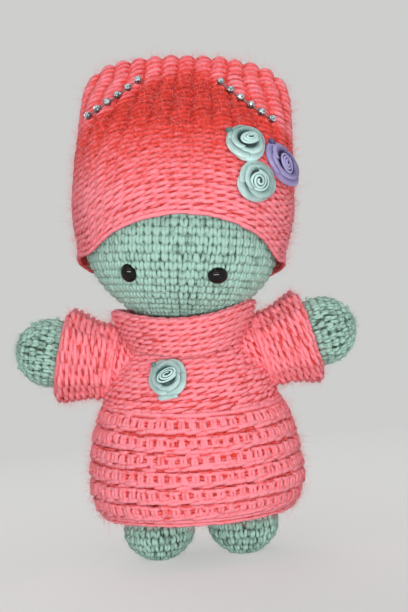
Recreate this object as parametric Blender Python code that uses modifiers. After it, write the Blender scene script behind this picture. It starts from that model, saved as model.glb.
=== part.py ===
"""Crocheted doll in a dress and a ribbed hat, in metres, +Z up, its front towards -Y.

The doll stands on its soles at Z = 0 and X = 0 is its middle plane. Crocheted covers are
shells round their filling, the dress and the hat are worn over them, and the head, the hat,
the arms and the legs hang from empties that lie on the axes they move about.
"""

import math

import bmesh
import bpy
from mathutils import Matrix, Vector

# Shared clearances, walls and mesh counts
CLEARANCE = 0.0004
DRESS_GAP = 0.0008
COVER_WALL = 0.0025
OVERRUN = 0.012
MERGE_DISTANCE = 0.00001
SLOPE_STEP = 0.0004
SAMPLES_PER_POINT = 12
BODY_SEGMENTS = 24
HEAD_SEGMENTS = 28
LIMB_SEGMENTS = 16
SLEEVE_SEGMENTS = 20
BALL_SEGMENTS = 16
BALL_RINGS = 10
SMALL_SEGMENTS = 12
LINING_STEP = 2
SHARP_ANGLE = math.radians(50)
ROUND_POWER = 2.0

# Legs: a hip ball, an ankle and a foot that is flat where it stands
LEG_SPACING = 0.0227
HIP_HEIGHT = 0.038
HIP_RADIUS = 0.016
HIP_BALL_ANGLES = (-20, 8, 37, 66)
ANKLE_HEIGHT = 0.0285
ANKLE_RADIUS = 0.0145
FOOT_HALF_WIDTH = 0.0185
FOOT_HALF_LENGTH = 0.023
FOOT_WIDEST_HEIGHT = 0.0150
SOLE_CUT = 0.0005
FOOT_WIDTH_POWER = 2.0
FOOT_LENGTH_POWER = 3.0
FOOT_LEVEL_SHARES = (0.0, 0.08, 0.25, 0.55, 1.0)
INSTEP_SHARES = ((0.45, 0.62), (1.0, 0.0))

# Shoulders: the heights of the body, the yoke, the collar and the neck follow theirs
SHOULDER_X = 0.038
SHOULDER_HEIGHT = 0.1055
TORSO_SHOULDER_RISE = 0.0165
YOKE_SHOULDER_RISE = 0.0115
NECK_RISE = 0.004

# Body: a pear shape, round at the neck
TORSO_TOP = SHOULDER_HEIGHT + TORSO_SHOULDER_RISE
TORSO_RISE = 0.0009
TORSO_BOTTOM = HIP_HEIGHT + TORSO_RISE
TORSO_HALF_WIDTH = 0.042
TORSO_HALF_DEPTH = 0.0353
TORSO_SHARES = (
    (0.00, 0.43, 0.43),
    (0.03, 0.78, 0.78),
    (0.12, 0.95, 0.95),
    (0.26, 1.00, 1.00),
    (0.44, 0.96, 0.96),
    (0.60, 0.90, 0.90),
    (0.73, 0.80, 0.83),
    (0.80, 0.71, 0.75),
    (0.87, 0.59, 0.64),
    (0.94, 0.45, 0.54),
    (1.00, 0.417, 0.496),
)

# Neck: a ball-shaped ring between the body and the head
NECK_HEIGHT = TORSO_TOP + NECK_RISE
NECK_SHIFT = -0.0025
NECK_BALL_RADIUS = 0.0176
NECK_BORE = 0.011
NECK_SEAT = 0.0016
NECK_POINTS = 4

# Head: its empty leans towards +X and looks a little towards -X
HEAD_TILT = math.radians(6.4)
HEAD_YAW = math.radians(-4.5)
HEAD_HALF_WIDTH = 0.052
HEAD_HALF_DEPTH = 0.046
HEAD_LOWER_HEIGHT = 0.0445
HEAD_UPPER_HEIGHT = 0.042
HEAD_RINGS = 14

# Safety eyes: a dome with a stem through the cover and a washer that locks it
EYE_SPACING = 0.0232
EYE_HEIGHT = 0.0246
EYE_RADIUS = 0.0050
EYE_DOME = 0.0040
EYE_FLANGE = 0.0007
EYE_ARC_ANGLES = (68, 45, 22, 0)
STEM_RADIUS = 0.0016
STEM_RIDGE = 0.0003
STEM_LENGTH = 0.0085
STEM_RIDGES = 3
WASHER_RADIUS = 0.0055
WASHER_THICKNESS = 0.0014

# Arms: a shoulder ball, a plain arm and a round hand
ARM_RISE = math.radians(13.9)
SHOULDER_RADIUS = 0.0125
SHOULDER_ANGLES = (60, 90, 120, 150)
ARM_RADIUS = 0.0107
HAND_RADIUS = 0.018
HAND_REACH = 0.0367
ARM_LEVEL_SHARES = (0.49, 0.33)
HAND_ANGLES = (0, 22, 44, 66, 88, 110, 136)

# Sleeves: a ball-shaped head inside the armhole and a bell over the hand
SLEEVE_WALL = 0.0021
SLEEVE_GAP = 0.0006
SLEEVE_HEAD_ANGLES = (76, 88, 100)
SLEEVE_LENGTH = 0.0295
BELL_RADIUS = 0.023
BELL_OUTER_SHARES = (
    (1.00, 0.89),
    (0.98, 0.975),
    (0.89, 1.00),
    (0.68, 0.925),
    (0.47, 0.845),
    (0.31, 0.79),
    (0.21, 0.79),
    (0.13, 0.765),
)
BELL_INNER_SHARES = (
    (0.27, 0.55),
    (0.47, 0.617),
    (0.68, 0.70),
    (0.81, 0.765),
    (0.95, 0.80),
)
ARMHOLE_REACH = 0.019
ARMHOLE_EDGE = 0.031
POCKET_ANGLE_STEPS = 5

# Dress yoke
WAIST_HEIGHT = 0.084
BODICE_TOP = SHOULDER_HEIGHT + YOKE_SHOULDER_RISE
BODICE_HALF_WIDTH = 0.046
BODICE_HALF_DEPTH = 0.0386
BODICE_WALL = 0.004
BODICE_SHARES = (
    (0.00, 0.985, 0.985),
    (0.13, 1.00, 1.00),
    (0.31, 0.978, 0.985),
    (0.49, 0.913, 0.92),
    (0.67, 0.815, 0.82),
    (0.85, 0.674, 0.70),
    (1.00, 0.554, 0.60),
)

# Folded collar: a flared band, lower in front than at the sides
COLLAR_TOP_HALF_WIDTH = 0.0368
COLLAR_TOP_HALF_DEPTH = 0.0345
COLLAR_FOOT_HALF_WIDTH = 0.0290
COLLAR_FOOT_HALF_DEPTH = 0.0340
COLLAR_LAP = 0.0020
COLLAR_DIP = 0.0060
COLLAR_SIDE_RISE = 0.0190
COLLAR_FRONT_RISE = 0.0180
COLLAR_BACK_RISE = 0.0230
COLLAR_FOOT_SIDE = BODICE_TOP - COLLAR_LAP
COLLAR_FOOT_FRONT = COLLAR_FOOT_SIDE - COLLAR_DIP
COLLAR_WALL = 0.0046
COLLAR_FOLD = 0.0008
COLLAR_ROUND_POWER = 4
COLLAR_SEGMENTS = 36
COLLAR_BAND_SHARES = (0.0, 0.2, 0.4, 0.6, 0.8, 1.0)
COLLAR_INNER_SHARES = (0.88, 0.5, 0.12)
COLLAR_HEAD_GAP = 0.0025

# Ribbed skirt
SKIRT_HEM_HEIGHT = 0.016
SKIRT_HALF_WIDTH = 0.0578
SKIRT_HALF_DEPTH = 0.0500
SKIRT_WALL = 0.0048
HEM_WALL = 0.0030
HEM_SHARE = 0.3
SKIRT_BANDS = 7
SKIRT_BAND_DEPTH = 0.0016
SKIRT_SEGMENTS = 28
SKIRT_INNER_LEVELS = 5
LEG_ROOM = 0.0008
SKIRT_SHARES = (
    (0.00, 0.805),
    (0.08, 0.855),
    (0.18, 0.940),
    (0.27, 0.981),
    (0.36, 1.000),
    (0.60, 0.972),
    (0.79, 0.929),
    (1.00, 0.830),
)
BAND_POINT_SHARES = ((0.0, 0.0), (0.30, 1.0), (0.72, 0.92))

# Hat: over the head it is round, and its flat top has rounded corners
HAT_SIDE_STAND = 0.0077
HAT_FRONT_STAND = 0.0070
HAT_HALF_WIDTH = HEAD_HALF_WIDTH + HAT_SIDE_STAND
HAT_HALF_DEPTH = HEAD_HALF_DEPTH + HAT_FRONT_STAND
HAT_HEIGHT = 0.1424
HAT_WALL = 0.006
HAT_HEAD_GAP = 0.0006
HAT_RIBS = 26
HAT_RIB_DEPTH = 0.0013
HAT_BRIM_HEIGHT = 0.0369
HAT_BRIM_RISE = 0.0178
HAT_CAVITY_HEIGHT = 0.118
HAT_SCALLOP = 0.0010
HAT_SCALLOP_POWER = 8
HAT_TOP_RIB_SHARE = 0.35
HAT_RIB_FADE_SHARE = 0.125
HAT_LEVEL_SHARES = (0.0, 0.06, 0.24, 0.42, 0.58, 0.71, 0.82, 0.91, 0.97, 1.0)
HAT_INNER_SHARES = (1.0, 0.80, 0.60, 0.40, 0.20, 0.0)
HAT_SQUARE_POWER = 2.5
HAT_SHARES = (
    (0.12, 0.930, 0.950),
    (0.27, 0.935, 0.970),
    (0.35, 0.980, 0.990),
    (0.42, 1.000, 1.000),
    (0.53, 0.992, 0.955),
    (0.62, 0.978, 0.835),
    (0.70, 0.962, 0.670),
    (0.79, 0.948, 0.480),
    (0.86, 0.931, 0.330),
    (0.915, 0.880, 0.225),
    (0.955, 0.770, 0.165),
    (0.985, 0.600, 0.130),
    (1.00, 0.330, 0.085),
)

# Rhinestone cup chains: the inner and the outer end as shares of the hat's width and height
STONES = 6
CHAIN_END_SHARES = {
    "left": ((0.325, 0.886), (0.779, 0.749)),
    "right": ((-0.410, 0.890), (-0.826, 0.751)),
}
CHAIN_SAG = 0.0012
CUP_RADIUS = 0.0021
CUP_HEIGHT = 0.0015
CUP_FLOOR = 0.0006
CUP_LIP = 0.0003
CUP_SEGMENTS = 8
LINK_RADIUS = 0.00045
LINK_HEIGHT = 0.0006
STONE_TABLE = 0.0010
STONE_CROWN = 0.0006

# Ribbon roses
ROSE_RADIUS = 0.0093
ROSE_EYE_RADIUS = 0.0013
ROSE_FOOT_RADIUS = 0.0050
ROSE_HEIGHT = 0.0066
ROSE_EDGE_HEIGHT = 0.0048
ROSE_WAVE = 0.0005
ROSE_PETALS_PER_TURN = 2.5
ROSE_TURNS = 3
ROSE_LEAN_SHARE = 0.33
ROSE_SEGMENTS = 10
RIBBON_THICKNESS = 0.0006
CALYX_RADIUS = 0.0055
CALYX_THICKNESS = 0.0011
CALYX_SEGMENTS = 10
HAT_ROSE_SHARES = {
    "hat_rose_upper": (0.570, 0.650, "mint_satin"),
    "hat_rose_lower": (0.670, 0.509, "mint_satin"),
    "hat_rose_lilac": (0.896, 0.597, "lilac_satin"),
}
CHEST_ROSE_X = -0.0100
CHEST_ROSE_HEIGHT = 0.0955

# Colours (red, green, blue from 0 to 1), roughness and metallic value
FINISHES = {
    "sage_yarn": ((0.32, 0.50, 0.43), 0.90, 0.0),
    "coral_yarn": ((0.90, 0.20, 0.22), 0.90, 0.0),
    "fibre_fill": ((0.85, 0.85, 0.82), 0.95, 0.0),
    "black_plastic": ((0.010, 0.008, 0.008), 0.12, 0.0),
    "white_plastic": ((0.75, 0.75, 0.72), 0.45, 0.0),
    "mint_satin": ((0.50, 0.72, 0.66), 0.35, 0.0),
    "lilac_satin": ((0.30, 0.25, 0.42), 0.35, 0.0),
    "silver_metal": ((0.62, 0.64, 0.66), 0.25, 1.0),
    "clear_stone": ((0.80, 0.90, 0.95), 0.05, 0.0),
}

SIDES = (("left", 1), ("right", -1))


def clear_scene():
    """Empties the open scene without closing the file."""
    for thing in list(bpy.data.objects):
        bpy.data.objects.remove(thing, do_unlink=True)


def new_collection(name):
    """A collection linked to the scene."""
    made = bpy.data.collections.new(name)
    bpy.context.scene.collection.children.link(made)
    return made


def finish(name):
    """The material of that name, made on first use."""
    if name in bpy.data.materials:
        return bpy.data.materials[name]
    colour, roughness, metallic = FINISHES[name]
    made = bpy.data.materials.new(name)
    made.use_nodes = True
    shader = made.node_tree.nodes["Principled BSDF"]
    shader.inputs["Base Color"].default_value = (*colour, 1)
    shader.inputs["Roughness"].default_value = roughness
    shader.inputs["Metallic"].default_value = metallic
    return made


def new_empty(name, location, parent=None):
    """An empty on a joint's axis."""
    made = bpy.data.objects.new(name, None)
    made.location = location
    made.parent = parent
    PARTS.objects.link(made)
    return made


def new_object(name, mesh, material, parent=None):
    """A sub-part with one material, under the empty that carries it."""
    mesh.materials.append(finish(material))
    mesh.shade_smooth()
    mesh.set_sharp_from_angle(angle=SHARP_ANGLE)
    made = bpy.data.objects.new(name, mesh)
    made.parent = parent
    PARTS.objects.link(made)
    return made


def as_cutter(thing):
    """Moves an object to the cutters, out of the render."""
    PARTS.objects.unlink(thing)
    CUTTERS.objects.link(thing)
    thing.hide_render = True
    thing.display_type = "WIRE"
    return thing


def new_cutter(name, mesh, parent=None):
    """A closed mesh that only cuts or joins."""
    return as_cutter(new_object(name, mesh, "fibre_fill", parent))


def boolean(target, other, operation="DIFFERENCE"):
    """Cuts the target by another object, or joins the two."""
    step = target.modifiers.new(operation.lower(), "BOOLEAN")
    step.operation = operation
    step.object = other
    step.solver = "EXACT"


def shell(target, thickness):
    """Gives an open surface a wall on its inner side."""
    step = target.modifiers.new("wall", "SOLIDIFY")
    step.thickness = thickness
    step.offset = -1
    return step


def table_value(table, share, column=1):
    """Reads a table of shares at a share of its height, straight between its rows."""
    for low, high in zip(table, table[1:]):
        if share <= high[0] or high is table[-1]:
            span = min(max((share - low[0]) / (high[0] - low[0]), 0), 1)
            return low[column] + (high[column] - low[column]) * span
    return table[-1][column]


def section(half_width, half_depth, count, power=ROUND_POWER):
    """Points evenly spaced round a flattened circle, counted from its front centre."""
    samples = []
    total = count * SAMPLES_PER_POINT
    for index in range(total + 1):
        angle = math.tau * index / total
        across = math.copysign(abs(math.sin(angle)) ** (2 / power), math.sin(angle))
        ahead = math.copysign(abs(math.cos(angle)) ** (2 / power), math.cos(angle))
        samples.append(Vector((half_width * across, -half_depth * ahead)))
    lengths = [0]
    for before, after in zip(samples, samples[1:]):
        lengths.append(lengths[-1] + (after - before).length)
    points = []
    place = 0
    for index in range(count):
        wanted = lengths[-1] * index / count
        while lengths[place + 1] < wanted:
            place += 1
        part = (wanted - lengths[place]) / (lengths[place + 1] - lengths[place])
        points.append(samples[place].lerp(samples[place + 1], part))
    return points


def ring(half_width, half_depth, height, count, power=ROUND_POWER):
    """A level section as a ring of points in space."""
    return [Vector((p.x, p.y, height)) for p in section(half_width, half_depth, count, power)]


def loft(name, rings, cap_first=False, cap_last=False, wrap=False):
    """Skins rings of equal counts, from the lowest up along an outer side."""
    work = bmesh.new()
    made = [[work.verts.new(point) for point in points] for points in rings]
    pairs = list(zip(made, made[1:]))
    if wrap:
        pairs.append((made[-1], made[0]))
    for low, high in pairs:
        for index in range(len(low)):
            after = (index + 1) % len(low)
            work.faces.new((low[index], low[after], high[after], high[index]))
    for wanted, edge, turn in ((cap_first, made[0], -1), (cap_last, made[-1], 1)):
        if wanted:
            middle = work.verts.new(sum((vert.co for vert in edge), Vector()) / len(edge))
            for index in range(len(edge)):
                pair = (edge[index], edge[(index + 1) % len(edge)])[::turn]
                work.faces.new((middle, *pair))
    mesh = bpy.data.meshes.new(name)
    work.to_mesh(mesh)
    work.free()
    return mesh


def turned_cutter(name, profile, segments, parent=None):
    """A turned shape that only cuts or joins."""
    return as_cutter(new_turned(name, profile, segments, "fibre_fill", parent))


def inside_of(name, rings, distance):
    """A plainer closed form that lies a distance inside the skin of these rings."""
    mesh = loft(name, [points[::LINING_STEP] for points in rings], True, True)
    work = bmesh.new()
    work.from_mesh(mesh)
    work.normal_update()
    moves = [vert.normal * distance for vert in work.verts]
    for vert, move in zip(work.verts, moves):
        vert.co -= move
    work.to_mesh(mesh)
    work.free()
    return mesh


def new_turned(name, profile, segments, material, parent=None, closed=False):
    """A turned sub-part: its (radius, height) profile runs down the outer side."""
    mesh = bpy.data.meshes.new(name)
    edges = [(index, index + 1) for index in range(len(profile) - 1)]
    if closed:
        edges.append((len(profile) - 1, 0))
    mesh.from_pydata([(radius, 0, height) for radius, height in profile], edges, [])
    made = new_object(name, mesh, material, parent)
    spin = made.modifiers.new("turn", "SCREW")
    spin.steps = segments
    spin.render_steps = segments
    spin.use_merge_vertices = True
    spin.merge_threshold = MERGE_DISTANCE
    spin.use_smooth_shade = True
    return made


def shrunk_profile(profile, distance):
    """Moves an outer profile inward, square to its run."""
    moved = []
    for index, (radius, height) in enumerate(profile):
        before = profile[max(index - 1, 0)]
        after = profile[min(index + 1, len(profile) - 1)]
        run = Vector((after[0] - before[0], after[1] - before[1])).normalized()
        if radius == 0:
            run = Vector((1, 0))
        moved.append((max(radius + run.y * distance, 0), height - run.x * distance))
    return moved


def arc(radius, height, angles):
    """Profile points on a circle about the axis point at that height, angles from +Z."""
    return [
        (radius * math.sin(math.radians(a)), height + radius * math.cos(math.radians(a)))
        for a in angles
    ]


def ball(name, radius, centre, parent=None):
    """A cutter for a ball joint's socket, whose flats also keep that radius."""
    work = bmesh.new()
    outer = radius / math.cos(math.pi / BALL_SEGMENTS) / math.cos(math.pi / BALL_RINGS / 2)
    bmesh.ops.create_uvsphere(work, u_segments=BALL_SEGMENTS, v_segments=BALL_RINGS, radius=outer)
    mesh = bpy.data.meshes.new(name)
    work.to_mesh(mesh)
    work.free()
    made = new_cutter(name, mesh, parent)
    made.location = centre
    return made


def torso_size(height):
    """Half width and half depth of the body at a height."""
    share = (height - TORSO_BOTTOM) / (TORSO_TOP - TORSO_BOTTOM)
    return (
        TORSO_HALF_WIDTH * table_value(TORSO_SHARES, share, 1),
        TORSO_HALF_DEPTH * table_value(TORSO_SHARES, share, 2),
    )


def bodice_size(height):
    """Outer half width and half depth of the dress yoke at a height."""
    share = (height - WAIST_HEIGHT) / (BODICE_TOP - WAIST_HEIGHT)
    return (
        BODICE_HALF_WIDTH * table_value(BODICE_SHARES, share, 1),
        BODICE_HALF_DEPTH * table_value(BODICE_SHARES, share, 2),
    )


def hat_size(height):
    """Outer half width and half depth of the hat at a height in the head's frame."""
    share = height / HAT_HEIGHT
    return (
        HAT_HALF_WIDTH * table_value(HAT_SHARES, share, 1),
        HAT_HALF_DEPTH * table_value(HAT_SHARES, share, 2),
    )


def hat_power(height):
    """How square the hat's section is: round at the brim, squarer towards the top."""
    share = min(max(height / HAT_HEIGHT, 0), 1)
    return ROUND_POWER + (HAT_SQUARE_POWER - ROUND_POWER) * share


def front_point(across, height, size_at, power=ROUND_POWER):
    """A point on the front of a form whose level sections are known."""
    half_width, half_depth = size_at(height)
    rest = 1 - min(abs(across) / half_width, 1) ** power
    return Vector((across, -half_depth * rest ** (1 / power), height))


def front_frame(across, height, size_at, power=ROUND_POWER, lift=CLEARANCE):
    """Placement on a form's front, its Z axis square to the surface."""
    middle = front_point(across, height, size_at, power)
    aside = front_point(across + SLOPE_STEP, height, size_at, power) - middle
    above = front_point(across, height + SLOPE_STEP, size_at, power) - middle
    normal = aside.cross(above).normalized()
    turn = normal.to_track_quat("Z", "Y").to_matrix().to_4x4()
    return Matrix.Translation(middle + normal * lift) @ turn


def foot_rings(step=1):
    """The foot's rings from its flat sole up to the instep."""
    full = FOOT_WIDEST_HEIGHT + SOLE_CUT
    rings = []
    for share in FOOT_LEVEL_SHARES[::step]:
        drop = (FOOT_WIDEST_HEIGHT * (1 - share)) / full
        width = FOOT_HALF_WIDTH * (1 - drop**FOOT_WIDTH_POWER) ** (1 / FOOT_WIDTH_POWER)
        length = FOOT_HALF_LENGTH * (1 - drop**FOOT_LENGTH_POWER) ** (1 / FOOT_LENGTH_POWER)
        rings.append(ring(width, length, FOOT_WIDEST_HEIGHT * share, LIMB_SEGMENTS))
    for share, fullness in INSTEP_SHARES[step - 1 :]:
        height = FOOT_WIDEST_HEIGHT + (ANKLE_HEIGHT - FOOT_WIDEST_HEIGHT) * share
        width = ANKLE_RADIUS + (FOOT_HALF_WIDTH - ANKLE_RADIUS) * fullness
        length = ANKLE_RADIUS + (FOOT_HALF_LENGTH - ANKLE_RADIUS) * fullness
        rings.append(ring(width, length, height, LIMB_SEGMENTS))
    return rings


def leg_rings(step=1):
    """The whole leg in the frame of its hip, from the sole to the top of the hip ball."""
    rings = foot_rings(step)
    for angle in HIP_BALL_ANGLES:
        radius = HIP_RADIUS * math.cos(math.radians(angle))
        height = HIP_HEIGHT + HIP_RADIUS * math.sin(math.radians(angle))
        rings.append(ring(radius, radius, height, LIMB_SEGMENTS))
    return [[point - Vector((0, 0, HIP_HEIGHT)) for point in points] for points in rings]


def make_leg(side, sign):
    """A crocheted leg with its filling, on the hip's axis."""
    hip = new_empty(f"{side}_hip", (sign * LEG_SPACING, 0, HIP_HEIGHT), DOLL)
    outside = loft("leg_cover", leg_rings(), True, True)
    cover = new_object(f"{side}_leg_cover", outside, "sage_yarn", hip)
    coarse = leg_rings(LINING_STEP)
    lining = inside_of("leg_lining", coarse, COVER_WALL)
    boolean(cover, new_cutter(f"{side}_leg_lining", lining, hip))
    mouth = HIP_RADIUS * math.cos(math.radians(HIP_BALL_ANGLES[-1])) - COVER_WALL
    mouth_ends = [(0, HIP_RADIUS + OVERRUN), (mouth, HIP_RADIUS + OVERRUN), (mouth, 0), (0, 0)]
    boolean(cover, turned_cutter(f"{side}_leg_mouth", mouth_ends, SMALL_SEGMENTS, hip))
    inside = inside_of("leg_stuffing", coarse, COVER_WALL + CLEARANCE)
    new_object(f"{side}_leg_stuffing", inside, "fibre_fill", hip)
    return ball(f"{side}_hip_socket", HIP_RADIUS + CLEARANCE, (sign * LEG_SPACING, 0, HIP_HEIGHT))


def arm_profile():
    """The arm's outer profile from the hand's tip to the opening at the shoulder."""
    hand = arc(HAND_RADIUS, HAND_REACH, HAND_ANGLES)
    hand[0] = (0, hand[0][1])
    middle = [(ARM_RADIUS, HAND_REACH * share) for share in ARM_LEVEL_SHARES]
    return hand + middle + arc(SHOULDER_RADIUS, 0, SHOULDER_ANGLES)


def arm_inside(distance, mouth):
    """The arm's profile a distance further in, run out through the shoulder by the mouth's depth."""
    inner = shrunk_profile(arm_profile(), distance)
    radius, height = inner[-1]
    if mouth:
        inner.append((radius, height - mouth))
    return inner + [(0, height - mouth)]


def sleeve_profile():
    """The sleeve's closed profile: the bell, the ridge and the ball-shaped head."""
    inner = SHOULDER_RADIUS + SLEEVE_GAP
    outer = inner + SLEEVE_WALL
    bell = [(BELL_RADIUS * r, SLEEVE_LENGTH * s) for s, r in BELL_OUTER_SHARES]
    head = arc(outer, 0, SLEEVE_HEAD_ANGLES)
    lining = arc(inner, 0, reversed(SLEEVE_HEAD_ANGLES))
    throat = [(BELL_RADIUS * r, SLEEVE_LENGTH * s) for s, r in BELL_INNER_SHARES]
    return bell + head + lining + throat


def armhole_profile():
    """The room that the sleeve's ridge sweeps beside the body, about the X axis."""
    start = ARMHOLE_EDGE - SHOULDER_X
    first = math.acos(start / ARMHOLE_REACH)
    points = [(0, ARMHOLE_REACH)]
    for step in range(1, POCKET_ANGLE_STEPS + 1):
        angle = first * step / POCKET_ANGLE_STEPS
        points.append((ARMHOLE_REACH * math.sin(angle), ARMHOLE_REACH * math.cos(angle)))
    return points + [(0, start)]


def make_arm(side, sign):
    """An arm, its filling and its sleeve; returns what they need cut from the body."""
    place = (sign * SHOULDER_X, 0, SHOULDER_HEIGHT)
    shoulder = new_empty(f"{side}_shoulder", place, DOLL)
    lean = new_empty(f"{side}_arm_line", (0, 0, 0), shoulder)
    lean.rotation_euler = (0, sign * (math.pi / 2 - ARM_RISE), 0)
    outside = [*arm_profile(), (0, arm_profile()[-1][1])]
    cover = new_turned(f"{side}_arm_cover", outside, LIMB_SEGMENTS, "sage_yarn", lean)
    coarse = LIMB_SEGMENTS // LINING_STEP
    boolean(cover, turned_cutter(f"{side}_arm_lining", arm_inside(COVER_WALL, OVERRUN), coarse, lean))
    filling = arm_inside(COVER_WALL + CLEARANCE, 0)
    new_turned(f"{side}_arm_stuffing", filling, coarse, "fibre_fill", lean)
    new_turned(f"{side}_cuff", sleeve_profile(), SLEEVE_SEGMENTS, "coral_yarn", lean, closed=True)

    square = new_empty(f"{side}_armhole_line", (0, 0, 0), shoulder)
    square.rotation_euler = (0, sign * math.pi / 2, 0)
    pocket = turned_cutter(f"{side}_armhole", armhole_profile(), BALL_SEGMENTS, square)
    socket = ball(f"{side}_arm_socket", SHOULDER_RADIUS + CLEARANCE, place)
    sleeve_head = SHOULDER_RADIUS + SLEEVE_GAP + SLEEVE_WALL + CLEARANCE
    sleeve_socket = ball(f"{side}_sleeve_socket", sleeve_head, place)
    return socket, sleeve_socket, pocket


def torso_rings():
    """The body's rings from its flat bottom to the neck."""
    rings = []
    for share, _, _ in TORSO_SHARES:
        height = TORSO_BOTTOM + (TORSO_TOP - TORSO_BOTTOM) * share
        rings.append(ring(*torso_size(height), height, BODY_SEGMENTS))
    return rings


def make_torso(hip_sockets, arm_cuts):
    """The body's cover and filling, cut by the balls that sit in it."""
    rings = torso_rings()
    cover = new_object("body_cover", loft("body_cover", rings, True, True), "sage_yarn", DOLL)
    boolean(cover, new_cutter("body_lining", inside_of("body_lining", rings, COVER_WALL)))
    inside = inside_of("body_stuffing", rings, COVER_WALL + CLEARANCE)
    filling = new_object("body_stuffing", inside, "fibre_fill", DOLL)
    neck_place = (NECK_SHIFT, 0, NECK_HEIGHT)
    cuts = [*hip_sockets, ball("neck_socket", NECK_BALL_RADIUS + CLEARANCE, neck_place)]
    for socket, _, pocket in arm_cuts:
        cuts += [socket, pocket]
    for piece in (cover, filling):
        for cut in cuts:
            boolean(piece, cut)


def bodice_rings(inner):
    """The yoke's outer rings, or the rings of the room inside it."""
    rings = []
    for share, _, _ in BODICE_SHARES:
        height = WAIST_HEIGHT + (BODICE_TOP - WAIST_HEIGHT) * share
        width, depth = bodice_size(height)
        if inner:
            body_width, body_depth = torso_size(height)
            width = max(width - BODICE_WALL, body_width + DRESS_GAP)
            depth = max(depth - BODICE_WALL, body_depth + DRESS_GAP)
        rings.append(ring(width, depth, height, BODY_SEGMENTS))
    if inner:
        rings.insert(0, [point - Vector((0, 0, OVERRUN)) for point in rings[0]])
        rings.append([point + Vector((0, 0, OVERRUN)) for point in rings[-1]])
    return rings


def collar_value(front, side, back, angle):
    """A height or a rise round the neck: angle 0 is the front, 90 degrees a side."""
    end = front if math.cos(angle) > 0 else back
    return side + (end - side) * math.cos(angle) ** 2


def collar_rings(grow=0):
    """The folded band's closed section round the neck, grown alike on every side."""
    half = COLLAR_WALL / 2 + grow
    tops = section(COLLAR_TOP_HALF_WIDTH, COLLAR_TOP_HALF_DEPTH, COLLAR_SEGMENTS)
    feet = section(COLLAR_FOOT_HALF_WIDTH, COLLAR_FOOT_HALF_DEPTH, COLLAR_SEGMENTS)
    rows = [(share, 1) for share in COLLAR_BAND_SHARES]
    rows += [(share, -1) for share in COLLAR_INNER_SHARES]
    rings = [[] for _ in rows]
    for index, (top, foot) in enumerate(zip(tops, feet)):
        angle = math.tau * index / COLLAR_SEGMENTS
        low = collar_value(COLLAR_FOOT_FRONT, COLLAR_FOOT_SIDE, COLLAR_FOOT_FRONT, angle)
        high = low + collar_value(COLLAR_FRONT_RISE, COLLAR_SIDE_RISE, COLLAR_BACK_RISE, angle)
        base = Vector((foot.x, foot.y, low - grow))
        rise = Vector((top.x, top.y, high + grow)) - base
        along = Vector((-math.cos(angle + math.pi / 2), -math.sin(angle + math.pi / 2), 0))
        out = along if along.dot(Vector((foot.x, foot.y, 0))) > 0 else -along
        outward = (out - rise.normalized() * out.dot(rise.normalized())).normalized()
        for row, (share, face) in zip(rings, rows):
            fold = COLLAR_FOLD * math.sin(share * math.tau) * face
            swell = math.sqrt(1 - (2 * share - 1) ** COLLAR_ROUND_POWER) if face > 0 else 1
            row.append(base + rise * share + outward * (face * half * swell + fold))
    return rings


def make_bodice(arm_cuts, head_room):
    """The dress's yoke with its armholes, and the collar that lies on it."""
    outside = loft("dress_bodice", bodice_rings(False), True, True)
    yoke = new_object("dress_bodice", outside, "coral_yarn", DOLL)
    boolean(yoke, new_cutter("bodice_room", loft("bodice_room", bodice_rings(True), True, True)))
    for _, sleeve_socket, pocket in arm_cuts:
        boolean(yoke, sleeve_socket)
        boolean(yoke, pocket)
    band_room = loft("collar_room", collar_rings(CLEARANCE), wrap=True)
    boolean(yoke, new_cutter("collar_room", band_room))
    band = loft("dress_collar", collar_rings(), wrap=True)
    collar = new_object("dress_collar", band, "coral_yarn", DOLL)
    boolean(collar, head_room)
    for _, sleeve_socket, _ in arm_cuts:
        boolean(collar, sleeve_socket)


def skirt_rings():
    """The skirt's closed section: its inner side down, then its bands from the hem up."""
    top = WAIST_HEIGHT - CLEARANCE
    rise = top - SKIRT_HEM_HEIGHT
    leg_width = LEG_SPACING + FOOT_HALF_WIDTH + LEG_ROOM
    rings = []
    for level in range(SKIRT_INNER_LEVELS + 1):
        share = 1 - level / SKIRT_INNER_LEVELS
        fullness = table_value(SKIRT_SHARES, share)
        wall = HEM_WALL + (SKIRT_WALL - HEM_WALL) * min(share / HEM_SHARE, 1)
        width = max(SKIRT_HALF_WIDTH * fullness - wall, leg_width)
        depth = SKIRT_HALF_DEPTH * fullness - wall
        rings.append(ring(width, depth, SKIRT_HEM_HEIGHT + rise * share, SKIRT_SEGMENTS))
    for band in range(SKIRT_BANDS):
        for place, fullness in BAND_POINT_SHARES:
            share = (band + place) / SKIRT_BANDS
            inset = SKIRT_BAND_DEPTH * (1 - fullness)
            width = SKIRT_HALF_WIDTH * table_value(SKIRT_SHARES, share) - inset
            depth = SKIRT_HALF_DEPTH * table_value(SKIRT_SHARES, share) - inset
            rings.append(ring(width, depth, SKIRT_HEM_HEIGHT + rise * share, SKIRT_SEGMENTS))
    last = table_value(SKIRT_SHARES, 1)
    rings.append(ring(SKIRT_HALF_WIDTH * last, SKIRT_HALF_DEPTH * last, top, SKIRT_SEGMENTS))
    return rings


def make_skirt():
    """The ribbed skirt, sewn under the yoke."""
    new_object("dress_skirt", loft("dress_skirt", skirt_rings(), wrap=True), "coral_yarn", DOLL)


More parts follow.
